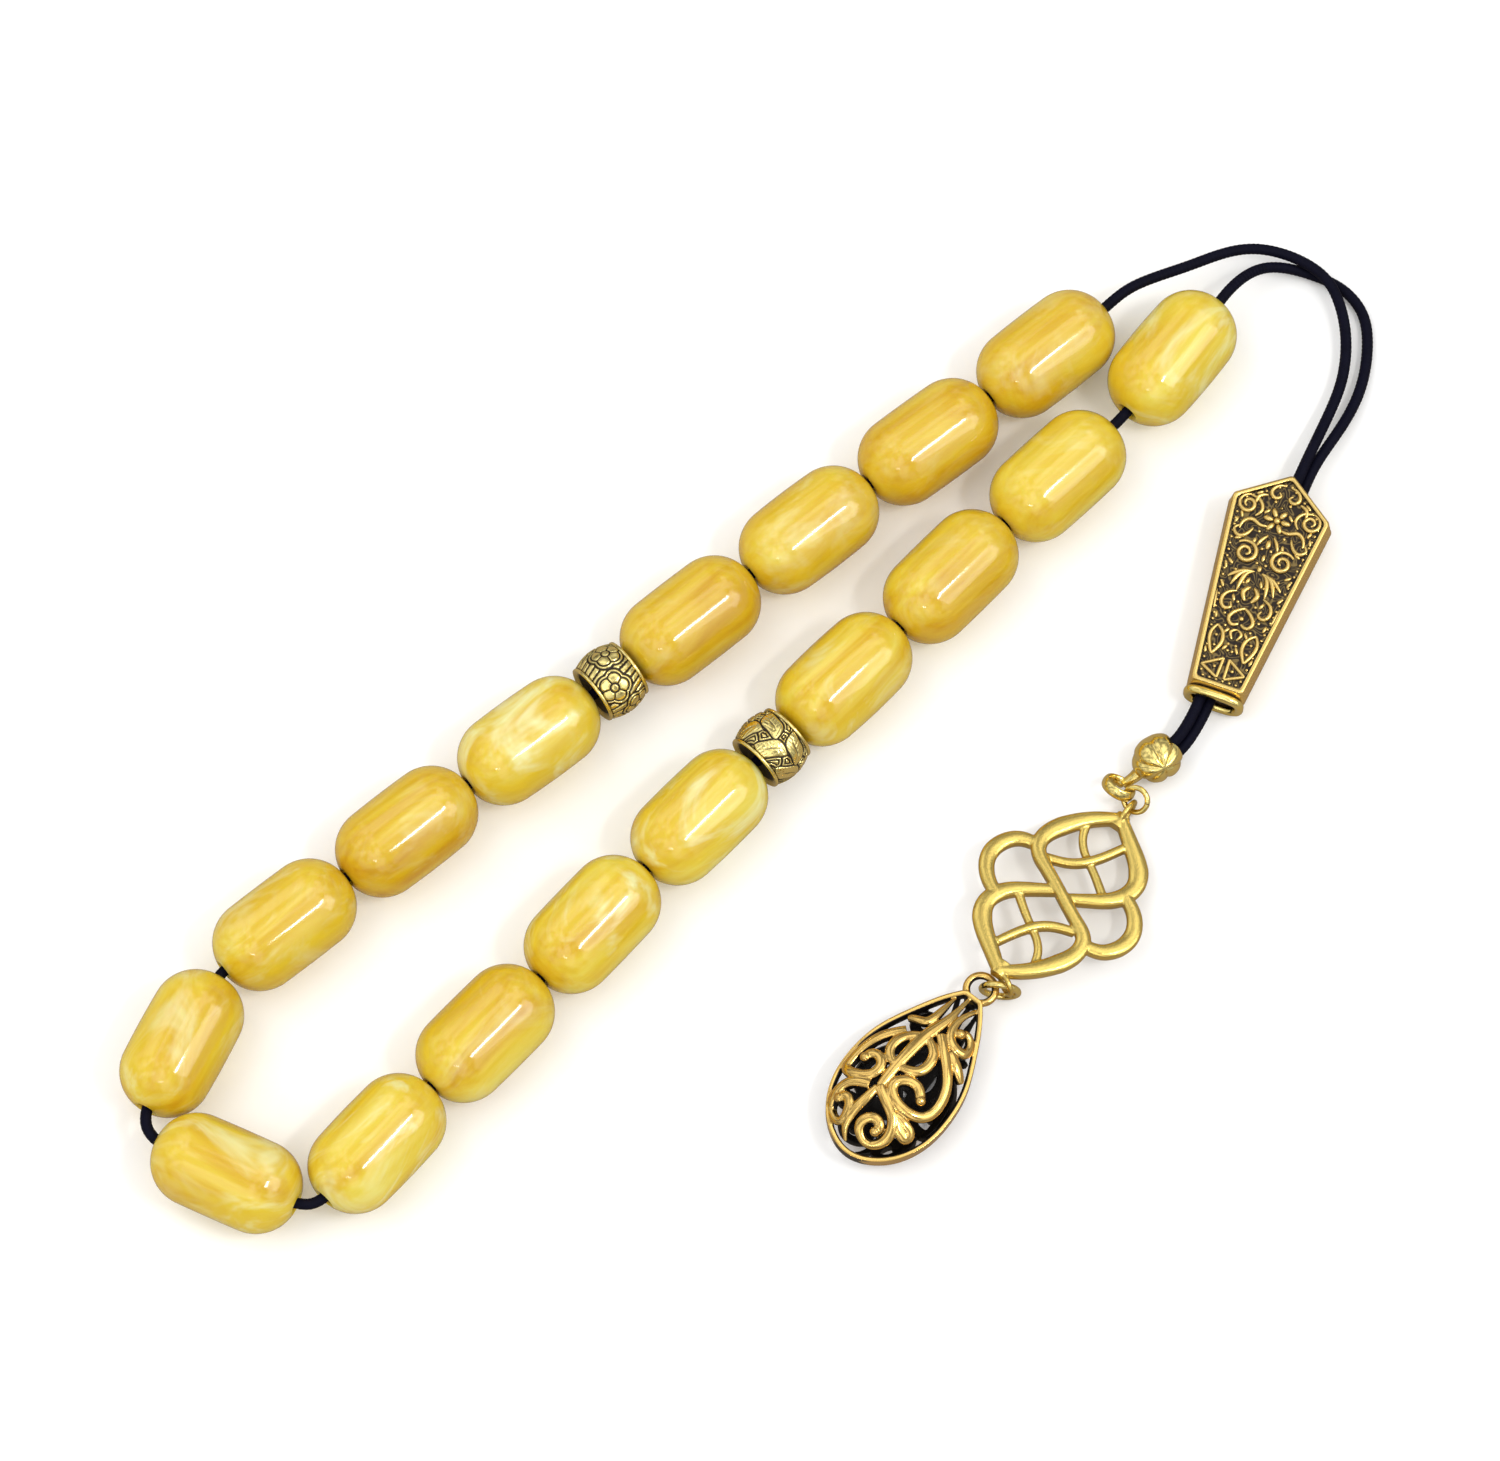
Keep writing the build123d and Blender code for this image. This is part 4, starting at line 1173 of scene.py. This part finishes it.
def drop_strand(shape, points, outline, side, width):
    """A raised scroll that follows the drop's surface, on its face (1) or its back (-1).
    A scroll of many points curls in, and ends in a bead."""
    line = smooth_line(points, 0.2)
    x = np.clip(line[:, 0], 2.0, 27.0)
    reach = np.interp(x, outline[:, 0], outline[:, 1])
    y = np.clip(line[:, 1], -reach * 0.97, reach * 0.97)
    height = drop_height(x, y, outline)
    step = 0.05
    slope_x = (drop_height(x + step, y, outline) - drop_height(x - step, y, outline)) / (2 * step)
    slope_y = (drop_height(x, y + step, outline) - drop_height(x, y - step, outline)) / (2 * step)
    lean_x = -np.clip(slope_x, -1.2, 1.2)
    lean_y = -np.clip(slope_y, -1.5, 1.5)
    outward = unit(np.stack([lean_x, lean_y, np.ones(len(x))], axis=1))
    outward[:, 2] *= side
    placed = np.stack([x, y, height * side], axis=1)
    narrow = np.clip(reach / 5.5, 0.5, 1.0)
    curled = len(points) > 7
    if curled:
        shape.dome(placed[-1], width, outward[-1], sink=0.8)
    ends = 0.92 if curled else 0.6
    shape.sweep(placed, crowned_section(width, 0.5, 0.7), outward, swelling(placed, ends) * narrow)


def make_pendant():
    """Hollow flattened drop: scrolls on both faces joined by a solid rim, with a bail."""
    outline = smooth_line(DROP_OUTLINE + mirrored(DROP_OUTLINE[-2::-1]), 0.1)[:, :2]
    outline = outline[outline[:, 1] > 0.02]
    shape = Shape()
    scrolls = [
        [(2.2, -0.2), (6.8, -0.5), (9.7, -1.1), (15.5, -1.5), (19.0, -1.5)],
        [(10.0, -1.2), (11.8, -3.2), (14.0, -3.6), (15.2, -2.6), (15.5, -1.5)],
        [(9.9, -1.1), (11.3, 1.1), (13.3, 1.6), (14.7, 0.9), (15.5, -1.5)],
        [(8.6, 0.2), (10.9, 2.7), (13.2, 4.8), (16.1, 5.8), (18.6, 5.2), (19.5, 3.0), (19.0, 0.8),
         (17.8, -0.2), (16.5, 0.5), (16.1, 2.3), (17.3, 3.7)],
        [(10.8, -3.6), (13.1, -5.6), (15.8, -6.6), (18.2, -6.8), (19.3, -6.5), (19.4, -5.3), (18.4, -3.4),
         (16.7, -3.1), (15.8, -4.2), (16.1, -5.2), (16.9, -5.4)],
        [(2.7, 1.6), (5.0, 0.8), (7.2, 0.9), (8.7, 2.2), (8.5, 4.0), (6.8, 3.6), (6.3, 2.6), (6.9, 2.0)],
        [(3.0, -1.7), (6.3, -1.9), (8.2, -2.4), (8.7, -3.8), (9.0, -4.6)],
        [(19.0, -1.5), (20.2, 0.6), (21.3, 2.4), (23.1, 3.3), (24.7, 2.9), (25.6, 1.5), (24.8, -0.2),
         (23.5, -0.4), (22.6, 0.7), (23.1, 1.7), (23.9, 1.6)],
        [(19.2, -1.7), (21.2, -1.9), (23.2, -2.2), (25.4, -1.9), (26.8, -0.8)],
        [(19.5, -2.6), (20.7, -5.0), (22.9, -5.6), (24.9, -4.6), (25.3, -2.9), (23.3, -3.0),
         (22.4, -4.2), (23.0, -4.7)],
        [(20.7, 2.2), (20.8, 3.7), (21.4, 5.2), (22.2, 5.0), (21.7, 3.5), (20.9, 2.2)],
        [(9.6, 2.6), (10.6, 4.2), (11.8, 6.0)],
    ]
    for points in scrolls:
        width = SPINE_WIDTH if points is scrolls[0] else SCROLL_WIDTH
        drop_strand(shape, points, outline, 1, width)
        drop_strand(shape, mirrored(points), outline, -1, width)
    loop = np.vstack([outline, outline[-2::-1] * (1, -1)])
    line = np.column_stack([loop, np.zeros(len(loop))])
    outward = crosswise(line, looped=True)[0]
    shape.sweep(line, crowned_section(0.95, 0.3, 0.5), outward, looped=True)
    bail = arc((0, 0, 0), BAIL_RADIUS, 0, 360, 0.1)[:-1]
    shape.sweep(bail, round_section(BAIL_WIRE, 16), looped=True)
    shape.dome((2.0, 0, -0.9), 1.0, sink=0.1)
    pendant = shape.build("pendant_filigree", FILIGREE, at(BAIL_CENTRE, PENDANT_HEADING))
    cast(pendant, voxel=0.09, passes=2)
    settle(pendant, "pendant", "pendant")


# ---------------------------------------------------------------- stage
def make_floor():
    """Large pale table top whose edges are far out of view."""
    mesh = bpy.data.meshes.new("floor")
    half = 3.0
    corners = [(-half, -half, 0), (half, -half, 0), (half, half, 0), (-half, half, 0)]
    mesh.from_pydata(corners, [], [(0, 1, 2, 3)])
    mesh.materials.append(floor_finish())
    floor = bpy.data.objects.new("floor", mesh)
    floor.location.z = -FLOOR_GAP * MM
    bpy.context.scene.collection.objects.link(floor)


def area_light(name, toward, distance, size, power, colour=(1.0, 1.0, 1.0)):
    """Soft rectangular light that shines on the frame's origin from a direction."""
    data = bpy.data.lights.new(name, "AREA")
    data.shape = "RECTANGLE"
    data.size, data.size_y = size
    data.energy = power
    data.color = colour
    light = bpy.data.objects.new(name, data)
    way = Vector(toward).normalized()
    light.location = way * distance
    light.rotation_euler = way.to_track_quat("Z", "Y").to_euler()
    bpy.context.scene.collection.objects.link(light)
    return light


def make_lights():
    """Overhead softbox that metal and resin don't mirror, a window strip, a fill and three small panes."""
    overhead = area_light("overhead", (-0.5, 0.6, 0.8), 1.5, (1.6, 1.6), 11.0)
    overhead.visible_glossy = False
    area_light("window", (0.18, -0.45, 0.86), 1.5, (0.40, 0.10), 4.0, (1.0, 0.985, 0.96))
    area_light("fill", (0.5, -0.7, 0.8), 1.6, (0.9, 0.9), 4.5, (1.0, 0.99, 0.97))
    pane_side = Vector(heading_vector(-43.5))
    for index in (-1, 0, 1):
        toward = Vector((-0.634, -0.325, 0.702)) * 1.5 + pane_side * (0.11 * index)
        area_light(f"pane_{index + 2}", toward, toward.length, (0.05, 0.05), 0.16)


def make_sky():
    """Pale sky over a grey horizon, with brighter and darker panels that show only in reflections."""
    world = bpy.data.worlds.new("studio")
    world.use_nodes = True
    sky = Nodes(world.node_tree)
    direction = sky.node("TexCoord").outputs["Generated"]
    upward = sky.node("SeparateXYZ", Vector=direction).outputs["Z"]
    gradient = sky.ramp(sky.maths("MULTIPLY_ADD", upward, 0.5, 0.5),
                        [(0.5, (0.14, 0.14, 0.15)), (0.97, (1.05, 1.06, 1.08))])
    panels = sky.fade(sky.noise(direction, 3.0, 1.0), 0.4, 0.58, smooth=False, dark=0.45, light=1.7)
    in_gloss = sky.node("LightPath").outputs["Is Glossy Ray"]
    strength = sky.maths("MULTIPLY_ADD", in_gloss, sky.maths("SUBTRACT", panels, 1.0), 1.0)
    background = world.node_tree.nodes["Background"]
    sky.feed(background, "Color", gradient)
    sky.feed(background, "Strength", strength)
    bpy.context.scene.world = world


def make_camera():
    """Long lens that looks down on the whole layout from the photo's side."""
    data = bpy.data.cameras.new("camera")
    data.sensor_width = 36.0
    data.lens = CAMERA_LENS
    data.clip_end = 10.0
    camera = bpy.data.objects.new("camera", data)
    aim = LAYOUT_ORIGIN + Vector(CAMERA_AIM) * MM
    toward = Vector(CAMERA_TOWARD)
    camera.location = aim + toward
    camera.rotation_euler = toward.to_track_quat("Z", "Y").to_euler()
    scene = bpy.context.scene
    scene.collection.objects.link(camera)
    scene.camera = camera
    scene.view_settings.view_transform = "Standard"


make_beads()
make_spacer("spacer_upper", flower_relief)
make_spacer("spacer_lower", leaf_relief)
make_row_cord()
make_free_strands()
make_tassel_strands()
make_knot()
make_imame()
make_knot_cover()
make_rings()
make_connector()
make_pendant()
make_floor()
make_lights()
make_sky()
make_camera()
